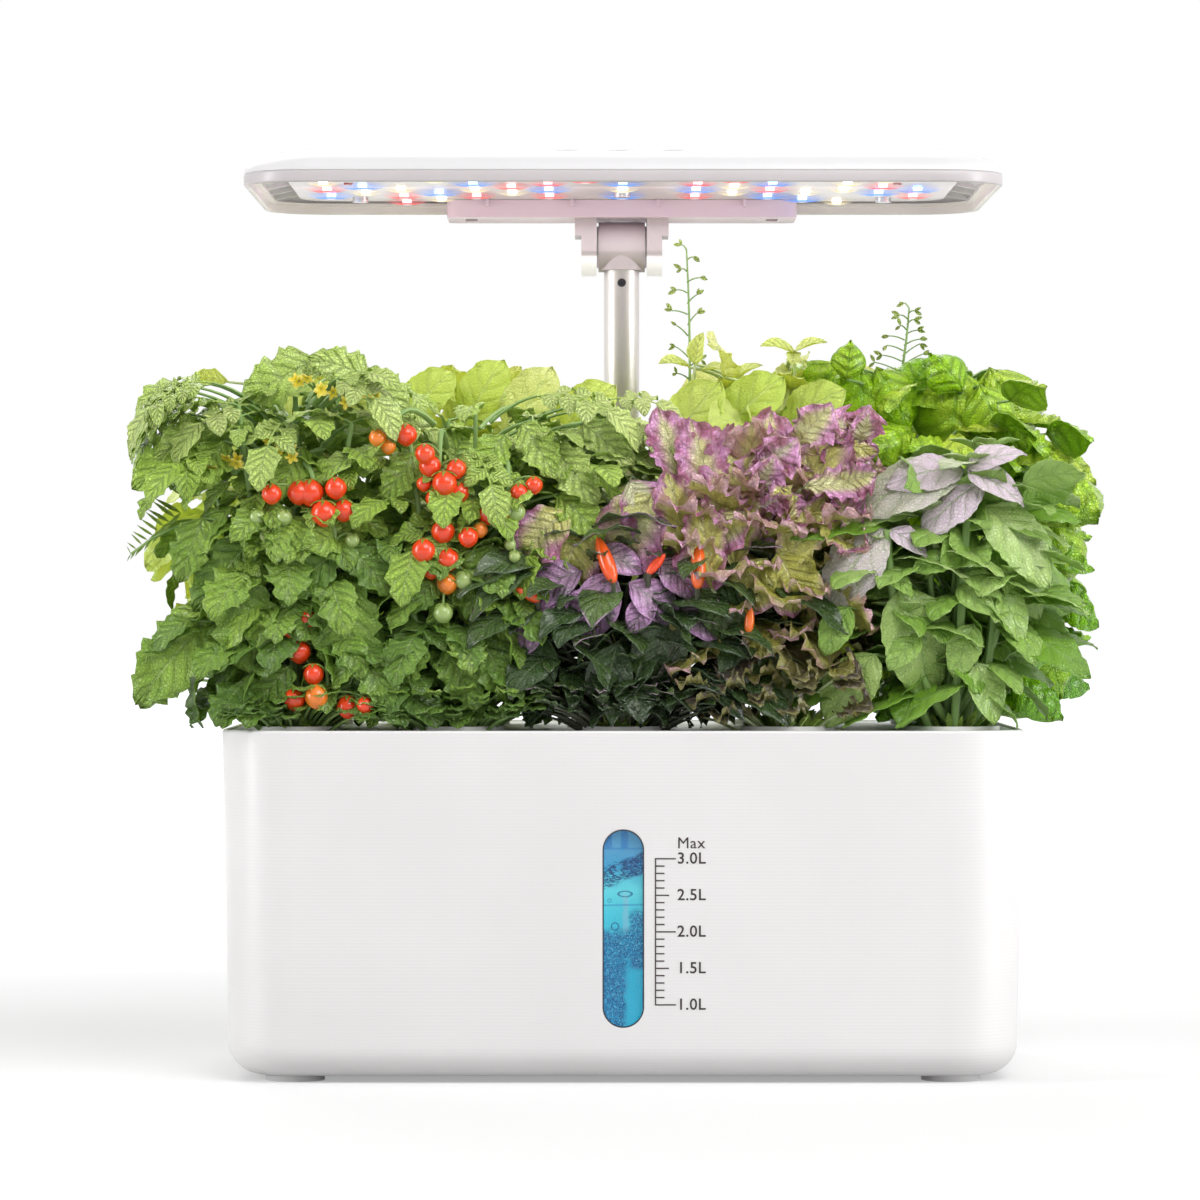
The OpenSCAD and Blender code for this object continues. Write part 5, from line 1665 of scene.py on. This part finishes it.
def truss(plant, start, y, *fruits):
    """A stalk with tomatoes; each is (x, z of its middle, radius, ripeness)."""
    start = Vector(start)
    places = [Vector((x, y + plant.vary(2), z)) for x, z, _, _ in fruits]
    middle = sum(places, Vector()) / len(places)
    behind = middle + Vector((0, 3, 0))
    crest = Vector((middle.x, y + 3, max(p.z for p in places) + TRUSS_HANG))
    bend = (start + crest) / 2 + Vector((0, -1, 7))
    plant.paths.append([(start, 1.1), (bend, 1.0), (crest, 0.85), (behind, 0.6)])
    for place, (_, _, radius, ripe) in zip(places, fruits):
        top = place + rise_of(radius)
        plant.fruit.add(CHERRY, Matrix.Translation(top) @ Matrix.Scale(radius, 4), ripe)
        share = min(1.0, max(0.0, (crest.z - place.z) / max(1.0, crest.z - middle.z)))
        root = crest.lerp(behind, min(share, 0.9))
        knee = (root + top) / 2 + rise_of(2.2)
        plant.paths.append([(root, 0.5), (knee, 0.42), (top - rise_of(0.3), 0.4)])
        for turn in range(5):
            out = on_circle(turn * 2 * math.pi / 5 + ripe, z=0.12)
            plant.leaves.add(SEPAL, aim(top - rise_of(0.1), out, (0, 0, 1), radius / 3.6), 0.6)


def petal_finish():
    finish = Finish("petal_yellow")
    here = finish.place()
    _, v, _ = finish.axes(finish.node("ShaderNodeUVMap", {"uv_map": "leaf"}))
    streaks = finish.noise(here, 900, 3)
    return finish.plain(
        Base_Color=finish.ramp(
            v + streaks * 0.2, (0.1, (0.5, 0.42, 0.02)), (0.5, (0.9, 0.72, 0.04)), (1.0, (0.95, 0.85, 0.2))
        ),
        Roughness=streaks * 0.1 + 0.5,
        Normal=finish.bump(streaks, 0.2, 0.1),
    )


PETAL_YELLOW = petal_finish()


def blossoms(plant, places):
    """Yellow star flowers on short stalks, five in each spray."""
    growth = Growth()
    draw = plant.random.uniform
    for place in places:
        spray = Vector(place)
        for _ in range(5):
            at = spray + Vector((draw(-8, 8), draw(-3, 2), draw(-6, 4)))
            look = Vector((draw(-0.8, 0.8), -1, draw(-1.6, 0.1))).normalized()
            side = look.cross(Vector((0, 0, 1))).normalized()
            over = side.cross(look)
            for turn in range(5):
                angle = turn * 2 * math.pi / 5
                out = side * math.cos(angle) + over * math.sin(angle) + look * 0.5
                growth.add(PETAL, aim(at, out, look, draw(0.55, 0.7)))
            knee = (spray + at) / 2 + Vector((0, 3, 1))
            plant.paths.append([(spray + Vector((0, 8, -3)), 0.5), (knee, 0.4), (at, 0.45)])
    make_piece(f"{plant.name}_blossoms", growth.bm, PETAL_YELLOW, "pod_" + plant.name, sharp=60)


# %% [markdown]
# Two cherry tomatoes fill the left of the garden: dark crinkled leaves low down, lighter
# ones in the light, and trusses that ripen from the top. The large leaves and the fruit
# that a viewer meets first are set one by one, and the shoots fill in behind them.

# %% Tomato plants
RED, DEEP_RED, ORANGE, GREEN = 0.85, 1.0, 0.55, 0.1
TOMATO_KINDS = TOMATO_LEAVES + [TOMATO_WILD]
SUN_FROM, SUN_DEPTH = 170, 75


def tomato_shoots(plant, first, tip_size, dark, gain, shoots):
    """Shoots with brighter leaves towards a tip that stands in the light."""
    for tip, bow, count in shoots:
        bright = 0.35 + gain * max(0, (tip[2] - SUN_FROM) / SUN_DEPTH)
        shoot = plant.shoot(tip, bow)
        plant.clothe(shoot, TOMATO_KINDS, count, first, (0.9, tip_size), (-0.3, 0.35), (dark, bright), 6)


plant = Plant("tomato_left", 1, -163, -84, -79, 30, 249, "tomato_leaf")
tomato_shoots(plant, 0.3, 0.6, 0.3, 0.6, (
    ((-130, -62, 228), (-4, -6, 20), 14), ((-112, -50, 244), (2, 8, 10), 15),
    ((-92, -58, 222), (6, -4, 14), 13), ((-146, -45, 214), (-6, 0, 26), 10),
    ((-118, -66, 196), (0, -14, 10), 10), ((-98, -30, 232), (4, 10, 10), 11),
    ((-96, -66, 160), (8, -8, 8), 7),
))
plant.thicket(TOMATO_KINDS, 46, (-136, -66, 134), (-88, -10, 200), 0.85, (0.2, 0.5))
plant.thicket([TOMATO_BIG, TOMATO_WILD], 26, (-134, -72, 132), (-88, -56, 196), 0.7, (0.25, 0.5), -0.4)
plant.thicket(TOMATO_LEAVES, 34, (-148, -64, 202), (-88, -20, 240), 0.75, (0.55, 0.95))
plant.follow([TOMATO_WILD], 30, 0.7, (0.3, 0.7))
plant.heroes(TOMATO_BIG, (
    ((-94, -70, 169), (-92, -76, 131), 0.36), ((-133, -68, 172), (-122, -76, 137), 0.38),
    ((-140, -64, 156), (-166, -72, 129), 0.45), ((-134, -62, 166), (-124, -74, 146), 0.5),
    ((-142, -62, 190), (-150, -72, 170), 0.45), ((-96, -70, 179), (-116, -76, 164), 0.3),
    ((-92, -70, 180), (-76.5, -76, 165), 0.3), ((-126, -64, 182), (-146, -71, 160), 0.3),
    ((-135, -62, 216), (-146, -71, 199), 0.55), ((-146, -60, 216), (-166, -69, 202), 0.6),
    ((-140, -58, 222), (-158, -68, 212), 0.75), ((-108, -62, 214), (-118, -72, 197), 0.5),
    ((-112, -68, 140), (-128, -76, 124), 0.3), ((-84, -68, 150), (-96, -76, 128), 0.28),
    ((-86, -50, 238), (-104, -62, 246), 0.85), ((-104, -50, 244), (-130, -60, 232), 0.8),
    ((-88, -52, 240), (-72, -60, 226), 0.85),
))
truss(
    plant, (-112, -56, 204), -73, (-118, 198, 3.4, RED), (-109, 198.5, 4, RED), (-105, 198.5, 4.5, RED),
    (-96.5, 200, 3.7, RED), (-100.5, 191.5, 4.4, RED), (-94, 192.5, 3.7, RED),
)
truss(
    plant, (-116, -58, 196), -71, (-123, 190, 3, GREEN), (-114, 190, 2.9, GREEN), (-120, 184, 2.3, GREEN),
    (-115, 183, 2.3, GREEN),
)
truss(plant, (-106, -56, 188), -72, (-102.5, 180, 2.2, GREEN), (-91, 182.5, 2.4, GREEN))
truss(
    plant, (-110, -56, 164), -70, (-113.5, 157, 3.5, DEEP_RED), (-106.5, 156, 3.2, DEEP_RED),
    (-111.5, 152, 3.4, DEEP_RED), (-109, 145, 3.9, DEEP_RED),
)
truss(
    plant, (-106, -58, 146), -74, (-104, 137.5, 3.5, RED), (-110.5, 129, 3.7, RED), (-103, 130, 4, ORANGE),
    (-92.5, 126.5, 3.9, RED), (-86.5, 127, 3, RED),
)
blossoms(plant, [(-131, -66, 208), (-104, -64, 236), (-91, -62, 233), (-119, -66, 216)])
FROND_ROOT, FROND_TIP, FROND_PAIRS = (-150, -56, 192), (-166, -66, 178), 10
for step in range(FROND_PAIRS):
    at = Vector(FROND_ROOT).lerp(Vector(FROND_TIP), step / (FROND_PAIRS - 1))
    for hand in (-1, 1):
        heading = (-0.8 + plant.random.uniform(-0.3, 0.2), -0.2 * hand, 0.8 * hand - 0.2)
        plant.leaves.add(FEATHER, aim(at, heading, (0, -1, 0), 1.15 - 0.08 * step), 0.6)
plant.stem((-130, -50, 190, 0.8), (*FROND_ROOT, 0.6), (*FROND_TIP, 0.4))
plant.thicket([TOMATO_SIDE], 60, (-136, -76, 122), (-86, -56, 132), 0.6, (0.1, 0.5), 0.6)
plant.finish(TOMATO_LEAF, GREEN_STALK, TOMATO_SKIN)

plant = Plant("tomato_right", 2, -86, 8, -79, 30, 236, "tomato_leaf")
tomato_shoots(plant, 0.15, 0.55, 0.25, 0.7, (
    ((-72, -62, 216), (-6, -8, 14), 13), ((-50, -56, 226), (2, 4, 10), 14),
    ((-30, -58, 222), (6, -4, 14), 14), ((-10, -50, 222), (14, 0, 16), 13),
    ((-60, -30, 224), (0, 10, 8), 11), ((-40, -66, 176), (6, -10, 8), 8),
    ((-74, -66, 168), (-6, -10, 8), 8),
))
plant.thicket(TOMATO_KINDS, 46, (-82, -66, 134), (-38, -10, 216), 0.8, (0.2, 0.75))
plant.thicket([TOMATO_BIG, TOMATO_WILD], 18, (-82, -72, 132), (-40, -56, 190), 0.65, (0.25, 0.5), -0.4)
plant.thicket(TOMATO_LEAVES + [SALAD_LEAVES[1]], 44, (-40, -58, 188), (4, -10, 232), 0.75, (0.65, 1.0))
plant.follow([TOMATO_WILD], 24, 0.65, (0.3, 0.8))
plant.heroes(TOMATO_BIG, (
    ((-44, -69, 181), (-53, -76, 156), 0.36), ((-62, -69, 171), (-72, -76, 159), 0.34),
    ((-68, -69, 152), (-80, -76, 131), 0.34), ((-48, -69, 150), (-36, -75, 128), 0.3),
    ((-70, -64, 212), (-81, -73, 197), 0.5), ((-40, -62, 218), (-52, -72, 203), 0.65),
    ((-34, -62, 222), (-22.5, -72, 205), 0.75), ((-48, -64, 206), (-32, -73, 198), 0.6),
    ((-60, -69, 146), (-48, -76, 126), 0.34), ((-24, -62, 214), (-8, -70, 196), 0.85),
    ((-14, -58, 222), (4, -66, 210), 0.9), ((-22, -62, 198), (-6, -70, 184), 0.7),
))
truss(plant, (-64, -54, 222), -71, (-73, 218, 3.7, RED), (-82.5, 217, 3, ORANGE), (-79, 214, 2.6, ORANGE))
truss(
    plant, (-60, -56, 214), -73, (-66.5, 211.5, 3.4, RED), (-65, 207.5, 3.8, RED), (-60, 201.5, 4.2, RED),
    (-56, 206.5, 3.4, RED), (-55, 198.5, 3.4, RED), (-67, 201.5, 2.6, RED), (-63.5, 196.5, 3, RED),
)
truss(
    plant, (-58, -56, 192), -74, (-60.5, 185.5, 4, RED), (-52, 183.5, 3.4, RED), (-67, 179, 4, RED),
    (-59, 176, 4, RED), (-64.5, 173, 3.5, RED), (-59, 168, 3.6, ORANGE), (-53.5, 169, 3.2, GREEN),
    (-60.5, 158, 3.3, GREEN),
)
truss(
    plant, (-40, -56, 204), -73, (-30, 201, 3, RED), (-35, 198.5, 3, RED), (-39.5, 192.5, 3.5, RED),
    (-45.5, 191, 3.2, RED), (-36, 192, 3.2, GREEN), (-48, 186, 2.6, ORANGE), (-38, 181, 2, GREEN),
    (-36.5, 177, 2, GREEN),
)
plant.thicket([TOMATO_SIDE], 70, (-84, -76, 122), (-32, -56, 132), 0.6, (0.1, 0.5), 0.6)
plant.finish(TOMATO_LEAF, GREEN_STALK, TOMATO_SKIN)

# %% [markdown]
# The chili is a low dark bush with narrow glossy leaves and a few upright fruits, each a
# cone that is bent and drawn to a point.

# %% Chili plant


def pepper(name, long, radius, bend):
    bm = leaf_bmesh()
    bmesh.ops.create_uvsphere(bm, u_segments=18, v_segments=18, radius=1)
    for vert in bm.verts:
        v = (vert.co.z + 1) / 2
        body = (1 - v) ** 0.35 * (1 - 0.45 * v) if v < 1 else 0
        vert.co.x *= radius * (0.62 + 0.4 * body)
        vert.co.y = vert.co.y * radius * (0.62 + 0.4 * body) + bend * v * v
        vert.co.z = v * long
    return mesh_from(name, bm)


PEPPER_LONG = pepper("pepper_long", 17, 3.0, -3.5)
PEPPER_SMALL = pepper("pepper_small", 9, 1.9, 1.5)

plant = Plant("chili", 3, -42, 52, -79, 30, 200, "chili_leaf")
for tip, bow, count in (
    ((-32, -62, 172), (-14, -8, 14), 14), ((-12, -64, 186), (-6, -10, 8), 15),
    ((8, -66, 184), (2, -12, 8), 15), ((30, -64, 182), (10, -8, 10), 15),
    ((46, -58, 164), (16, -4, 14), 13), ((-26, -64, 150), (-12, -10, 6), 11),
    ((20, -68, 156), (8, -14, 4), 12), ((0, -40, 176), (0, 8, 8), 9), ((-4, -68, 148), (-2, -14, 2), 10),
    ((42, -64, 142), (14, -8, 4), 11),
):
    shoot = plant.shoot(tip, bow, thick=1.2, thin=0.6)
    plant.clothe(shoot, CHILI_LEAVES, count, 0.12, (1.0, 0.75), (-0.55, 0.35), (0.1, 0.55), 4)
plant.thicket(CHILI_LEAVES, 110, (-36, -70, 128), (48, -20, 180), 0.95, (0.05, 0.5))
plant.follow(CHILI_LEAVES, 30, 0.7, (0.2, 0.5))
plant.heroes(CHILI_LEAVES[3], (
    ((-18, -68, 168), (-40, -75, 152), 1.0), ((-14, -66, 172), (-38, -74, 166), 1.0),
    ((-26, -67, 162), (-44, -75, 144), 0.95), ((-8, -68, 164), (-24, -77, 156), 1.0),
    ((10, -68, 164), (2, -77, 154), 0.95), ((20, -67, 160), (32, -77, 152), 0.85),
    ((-4, -68, 172), (-14, -76, 150), 0.95), ((2, -68, 168), (20, -76, 158), 1.0),
    ((12, -66, 176), (26, -75, 166), 0.9), ((-10, -66, 178), (6, -75, 176), 0.85),
    ((26, -68, 166), (42, -76, 150), 0.45), ((16, -68, 160), (8, -77, 132), 0.3),
    ((30, -66, 172), (52, -75, 164), 0.35), ((-26, -68, 150), (-34, -76, 128), 0.3),
    ((34, -68, 152), (50, -76, 128), 0.35), ((-2, -70, 148), (-8, -77, 124), 0.25),
), (0, -0.9, 0.45))
for kind, base, heading, ripe in (
    (PEPPER_LONG, (-3, -74, 168), (-0.35, -0.1, 1), 0.78),
    (PEPPER_LONG, (25, -74, 166), (0.02, -0.1, 1), 0.72),
    (PEPPER_SMALL, (-28, -72, 162), (-0.9, -0.2, 0.5), 0.8),
    (PEPPER_SMALL, (42, -72, 151), (0.1, -0.1, 1), 0.65),
    (PEPPER_SMALL, (8, -73, 171), (0.6, -0.3, 0.7), 0.9),
):
    base, out = Vector(base), Vector(heading).normalized()
    plant.fruit.add(kind, aim(base, (0, -1, 0.1), out), ripe)
    root = base + Vector((0, 16, -16))
    plant.paths.append([(root, 0.8), ((base + root) / 2 + Vector((0, 2, -2)), 0.7), (base + out, 0.9)])
plant.thicket([CHILI_LEAVES[2]], 90, (-32, -76, 122), (26, -56, 132), 0.55, (0.1, 0.6), 0.6)
plant.finish(CHILI_LEAF, DARK_STALK, CHILI_SKIN)

# %% [markdown]
# The red lettuce is a rosette on a short stem: broad leaves with deep frills stand up and
# lean out all round, their green hearts running to purple at the edge.

# %% Lettuce
plant = Plant("lettuce", 4, 8, 84, -79, 30, 231, "lettuce_leaf")
draw = plant.random.uniform
HEART = Vector((46, -46, 0))
HEART_RADIUS, HEART_Z, HEART_TALL = 6, 150, 34
RINGS, RING_LEAVES, FRILLS = 7, 11, 40
for ring in range(RINGS):
    share = ring / (RINGS - 1)
    for step in range(RING_LEAVES):
        angle = 2 * math.pi * step / RING_LEAVES + ring * 2.4 + plant.vary(0.2)
        rise = -0.1 + 1.25 * share + plant.vary(0.25)
        heading = on_circle(angle, math.cos(rise), math.sin(rise))
        root = HEART + on_circle(angle, HEART_RADIUS, HEART_Z + HEART_TALL * share)
        size = draw(0.7, 1.0)
        tint = 0.1 + 0.6 * share + plant.vary(0.15)
        plant.leaf(plant.random.choice(LETTUCE_LEAVES[:2]), root, heading, (0, 0, 1), size, tint, 2)
for _ in range(FRILLS):
    place = Vector((draw(44, 80), draw(-70, -42), draw(178, 216)))
    heading = Vector((draw(-0.8, 1), draw(-1, 0), draw(0, 1)))
    size = draw(0.55, 0.95)
    plant.leaf(LETTUCE_LEAVES[2], place, heading, (0, -1, 0.4), size, draw(0.5, 1.1), 1)
for kind, base, tip, tint in (
    (0, (22, -60, 196), (13, -66, 228), 0.8), (0, (32, -62, 188), (24, -70, 224), 0.75),
    (0, (38, -64, 172), (38, -72, 222), 0.6), (0, (46, -62, 184), (50, -68, 228), 0.7),
    (0, (58, -60, 184), (72, -68, 224), 0.65), (0, (24, -66, 172), (16, -74, 206), 0.55),
    (0, (52, -66, 168), (66, -74, 198), 0.5), (0, (30, -70, 166), (26, -76, 196), 0.5),
    (3, (10, -64, 198), (-6, -74, 174), 0.75), (3, (2, -62, 202), (14, -72, 186), 0.95),
    (3, (-19, -64, 192), (-36, -74, 180), 0.7), (3, (-14, -62, 188), (-22, -72, 168), 0.5),
    (3, (30, -68, 184), (22, -76, 166), 0.85), (3, (48, -68, 176), (38, -77, 160), 0.4),
    (3, (52, -68, 178), (62, -77, 160), 0.3), (3, (40, -66, 192), (30, -76, 182), 0.8),
    (1, (62, -66, 192), (78, -76, 184), 0.4), (1, (60, -66, 200), (80, -74, 204), 0.8),
):
    plant.hero(LETTUCE_LEAVES[kind], base, tip, tint, (0, -1, 0.5), HEART + rise_of(base[2] - 24))
plant.thicket([LETTUCE_LEAVES[2]], 30, (26, -74, 122), (76, -56, 140), 0.6, (-0.1, 0.12), 0.4)
plant.follow(LETTUCE_LEAVES[:2], 24, 0.7, (0.2, 0.6))
plant.stem((*plant.foot, 3.2), (51, -50, 150, 3.4), (*(HEART + rise_of(196)), 2.6))
plant.finish(LETTUCE_LEAF, PALE_STALK)

# %% [markdown]
# Basil grows in pairs: two leaves face each other, and the next pair stands across them.
# The front plant is matt and soft, the one behind it has broad glossy leaves that cup
# over like spoons.

# %% Basil in front
ACROSS = math.pi / 2 + 0.2
plant = Plant("basil_front", 5, 62, 156, -79, 30, 221, "basil_leaf")
for tip, bow, count in (
    ((120, -62, 206), (-2, -6, 4), 12), ((104, -62, 190), (-8, -8, 6), 10),
    ((136, -56, 196), (8, -4, 10), 12), ((86, -60, 178), (-14, -4, 16), 10),
    ((124, -34, 212), (2, 10, 6), 10), ((130, -66, 168), (8, -8, 4), 8), ((96, -66, 156), (-8, -10, 4), 8),
):
    shoot = plant.shoot(tip, bow, thick=1.7, thin=1.0)
    plant.clothe(shoot, BASIL_LEAVES[:2], count, 0.22, (1.0, 0.8), (-0.25, 0.3), (0.25, 0.7), 5, ACROSS)
    for hand in range(4):
        plant.leaf(BASIL_LEAVES[2], shoot(1), on_circle(hand * math.pi / 2, z=0.8), (0, 0, 1), 0.9, 0.7, 0)
plant.thicket(BASIL_LEAVES[:2], 50, (72, -58, 130), (144, -14, 204), 0.95, (0.1, 0.5))
plant.follow(BASIL_LEAVES[:2], 30, 0.8, (0.25, 0.6))
for kind, base, tip, tint in (
    (0, (93, -69, 166), (110, -76, 129), 0.6), (0, (85, -69, 144), (63, -76, 121), 0.6),
    (1, (119, -69, 141), (127, -76, 122), 0.5), (0, (88, -68, 186), (63, -76, 163), 0.9),
    (0, (122, -68, 194), (150, -76, 173), 0.62), (0, (121, -68, 202), (97, -76, 190), 1.05),
    (0, (115, -66, 206), (89, -74, 209), 0.95), (0, (113, -66, 205), (76, -74, 202), 0.85),
    (1, (116, -68, 207), (133, -75, 216), 1.0), (1, (116, -69, 206), (136, -77, 199), 1.05),
    (1, (90, -69, 186), (103, -76, 180), 1.05), (1, (88, -71, 172), (98, -77, 166), 0.5),
    (1, (112, -70, 176), (98, -77, 176), 0.45), (1, (114, -70, 172), (128, -77, 166), 0.5),
    (1, (126, -68, 166), (136, -76, 150), 0.5), (1, (76, -70, 160), (66, -77, 146), 0.4),
    (1, (100, -71, 150), (88, -78, 142), 0.45), (1, (118, -70, 154), (110, -77, 138), 0.5),
    (0, (126, -64, 184), (146, -72, 160), 0.5),
):
    plant.hero(BASIL_LEAVES[kind], base, tip, tint, (0, -0.7, 0.7))
for path in (
    ((104, -60, 118), (90, -70, 150), (89, -69, 186)), ((112, -62, 118), (114, -70, 160), (117, -67, 206)),
    ((118, -60, 118), (128, -66, 150), (124, -66, 190)),
):
    plant.stem(*((*place, 1.5) for place in path))
plant.finish(BASIL_LEAF, GREEN_STALK)

# %% [markdown]
# The rear row stands taller and catches more light. Only its tops show from the front,
# but each plant is grown down to its plug, for a garden that is seen from behind.

# %% Plants of the rear row
HEROES = {
    "salad_left": (
        ((-118, 10, 216), (-112, -8, 236)), ((-104, 10, 218), (-92, -6, 238)),
        ((-124, 14, 206), (-138, -2, 224)),
    ),
    "salad_right": (
        ((-78, 6, 224), (-64, -8, 242)), ((-56, 8, 222), (-46, -8, 244)), ((-40, 6, 216), (-30, -14, 240)),
        ((-24, 8, 218), (-10, -12, 236)), ((-20, 6, 204), (-5, -14, 220)), ((-46, 4, 208), (-30, -14, 222)),
    ),
    "basil_rear_left": (
        ((16, 8, 214), (28, -12, 236)), ((34, 10, 220), (50, -8, 240)), ((56, 12, 222), (70, -8, 236)),
    ),
    "basil_rear_right": (
        ((84, 20, 244), (86, 4, 210)), ((119, 20, 244), (115, 4, 212)), ((130, 24, 244), (146, 10, 216)),
        ((77, 22, 246), (56, 10, 222)), ((79, 12, 240), (80, 4, 252)), ((120, 14, 236), (112, 4, 249)),
        ((90, 20, 244), (102, 4, 226)), ((126, 16, 238), (134, 2, 222)), ((68, 16, 236), (64, 2, 216)),
        ((100, 26, 232), (106, 12, 246)), ((148, 16, 206), (163, 8, 182)), ((152, 20, 190), (156, 8, 166)),
        ((140, 12, 154), (132, 2, 130)), ((146, 16, 152), (158, 6, 128)), ((136, 18, 182), (148, 8, 160)),
    ),
}
for name, pod, low_x, high_x, kinds, material, slot, heart, shoots in (
    ("salad_left", 6, -150, -84, SALAD_LEAVES, SALAD_LEAF, "salad_leaf", 40, (
        ((-128, 44, 222), (-8, 4, 10), 9), ((-104, 36, 234), (2, -6, 10), 10),
        ((-94, 50, 224), (8, 8, 10), 9),
        ((-118, 56, 214), (-4, 10, 10), 9), ((-140, 30, 190), (-12, 0, 10), 8),
        ((-112, 24, 210), (0, -12, 8), 9),
    )),
    ("salad_right", 7, -86, -4, SALAD_LEAVES, SALAD_LEAF, "salad_leaf", 60, (
        ((-74, 44, 226), (-8, 4, 10), 10), ((-50, 34, 234), (2, -6, 10), 10),
        ((-24, 34, 228), (10, 4, 12), 10),
        ((-60, 58, 212), (-4, 10, 10), 9), ((-34, 24, 218), (8, -12, 8), 9),
        ((-14, 22, 214), (14, -8, 10), 10),
    )),
    ("basil_rear_left", 8, 10, 88, SALAD_LEAVES, SALAD_LEAF, "basil_leaf", 46, (
        ((38, 40, 222), (-8, 4, 10), 10), ((60, 34, 228), (2, -6, 10), 10), ((78, 46, 218), (8, 4, 10), 10),
        ((50, 58, 208), (-4, 10, 10), 9), ((28, 28, 200), (-12, -8, 8), 8),
    )),
    ("basil_rear_right", 9, 80, 167, GLOSSY_LEAVES[:2], GLOSSY_LEAF, "basil_leaf", 60, (
        ((98, 34, 240), (-8, -4, 10), 11), ((126, 40, 242), (4, 4, 10), 12),
        ((146, 36, 222), (12, 0, 14), 11),
        ((154, 40, 188), (16, 4, 12), 9), ((110, 56, 226), (0, 10, 10), 10), ((150, 34, 152), (16, -4, 8), 7),
        ((116, 18, 220), (2, -14, 10), 10),
    )),
):
    plant = Plant(name, pod, low_x, high_x, -24, 79, 252, slot)
    for tip, bow, count in shoots:
        shoot = plant.shoot(tip, bow, thick=1.8, thin=1.0)
        plant.clothe(shoot, kinds, count, 0.2, (0.85, 0.7), (-0.1, 0.75), (0.35, 0.85), 5)
    plant.thicket(kinds, heart, (low_x + 8, -10, 136), (high_x - 6, 68, 220), 0.8, (0.3, 0.9), 0.2)
    plant.follow(kinds, 80, 0.75, (0.3, 0.9))
    for base, tip in HEROES[name]:
        plant.hero(kinds[0], base, tip, plant.random.uniform(0.5, 0.9))
    if name == "basil_rear_left":
        for base, tip in (
            ((26, 26, 246), (27, 22, 257)), ((24, 26, 245), (14, 20, 249)), ((28, 26, 244), (37, 20, 246)),
            ((38, 24, 238), (47, 18, 248)), ((61, 20, 250), (50, 16, 255)), ((61, 20, 250), (71, 16, 256)),
            ((61, 20, 250), (60, 12, 247)),
        ):
            plant.hero(BASIL_LEAVES[2], base, tip, 0.8, (0, -0.5, 1))
        plant.stem((58, 30, 214, 1.0), (62, 22, 232, 0.8), (61, 20, 250, 0.6))
        plant.stem((26, 32, 214, 1.0), (24, 28, 230, 0.8), (26, 26, 246, 0.6))
    plant.finish(material, PALE_STALK if kinds is SALAD_LEAVES else GREEN_STALK)
print("rear plants:", len(HEROES))

# %% [markdown]
# Two thin stems have gone to seed and stand above the leaves.

# %% Seed stems
SEED = blade("seed", 3.6, 1.5, 0.5, 0.8, 0.3, 0.5, along=5, across=2)
SEED_STALKS = 13
for name, foot, top, keep in (
    ("basil_rear_left", (24, 34, 226), (23, 32, 287), 0.5),
    ("basil_rear_right", (98, 30, 236), (102, 28, 266), 0.6),
):
    chance = random.Random(name + " seeds")
    foot, top = Vector(foot), Vector(top)
    growth, paths = Growth(), [[(foot, 0.6), ((foot + top) / 2 + Vector((1.2, 0, 0)), 0.45), (top, 0.3)]]
    for step in range(SEED_STALKS):
        start = foot.lerp(top, 0.25 + 0.75 * step / (SEED_STALKS - 1))
        hand = 1 if step % 2 else -1
        out = Vector((hand * chance.uniform(3, 8), chance.uniform(-4, 2), chance.uniform(1.5, 5)))
        out *= 1.15 - 0.75 * step / (SEED_STALKS - 1)
        paths.append([(start, 0.3), (start + out * 0.5 + rise_of(0.8), 0.25), (start + out, 0.22)])
        for _ in range(2):
            heading = Vector(
                (hand * chance.uniform(0.2, 1), chance.uniform(-0.5, 0.5), chance.uniform(-0.6, 1))
            )
            growth.add(SEED, aim(start + out, heading, (0, -1, 0), chance.uniform(0.7, 1)), 0.85)
    body = "pod_" + name
    pieces = [
        make_piece(f"{name}_seeds", growth.bm, TOMATO_LEAF, body, sharp=60),
        stalks(f"{name}_seed_stem", paths, GREEN_STALK, body),
    ]
    for piece in pieces:
        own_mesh(piece)
    print(name, "seeds:", growth.count)

# %% [markdown]
# The last step prints how many triangles the shown pieces have: the five largest and all together.

# %% Finish
counts = {}
for piece in bpy.data.objects:
    if piece.type == "MESH" and not piece.hide_render:
        counts[piece.name] = sum(len(face.vertices) - 2 for face in piece.data.polygons)
print("largest pieces, triangles:", sorted(counts.items(), key=lambda item: -item[1])[:5])
print("triangles in all:", sum(counts.values()))
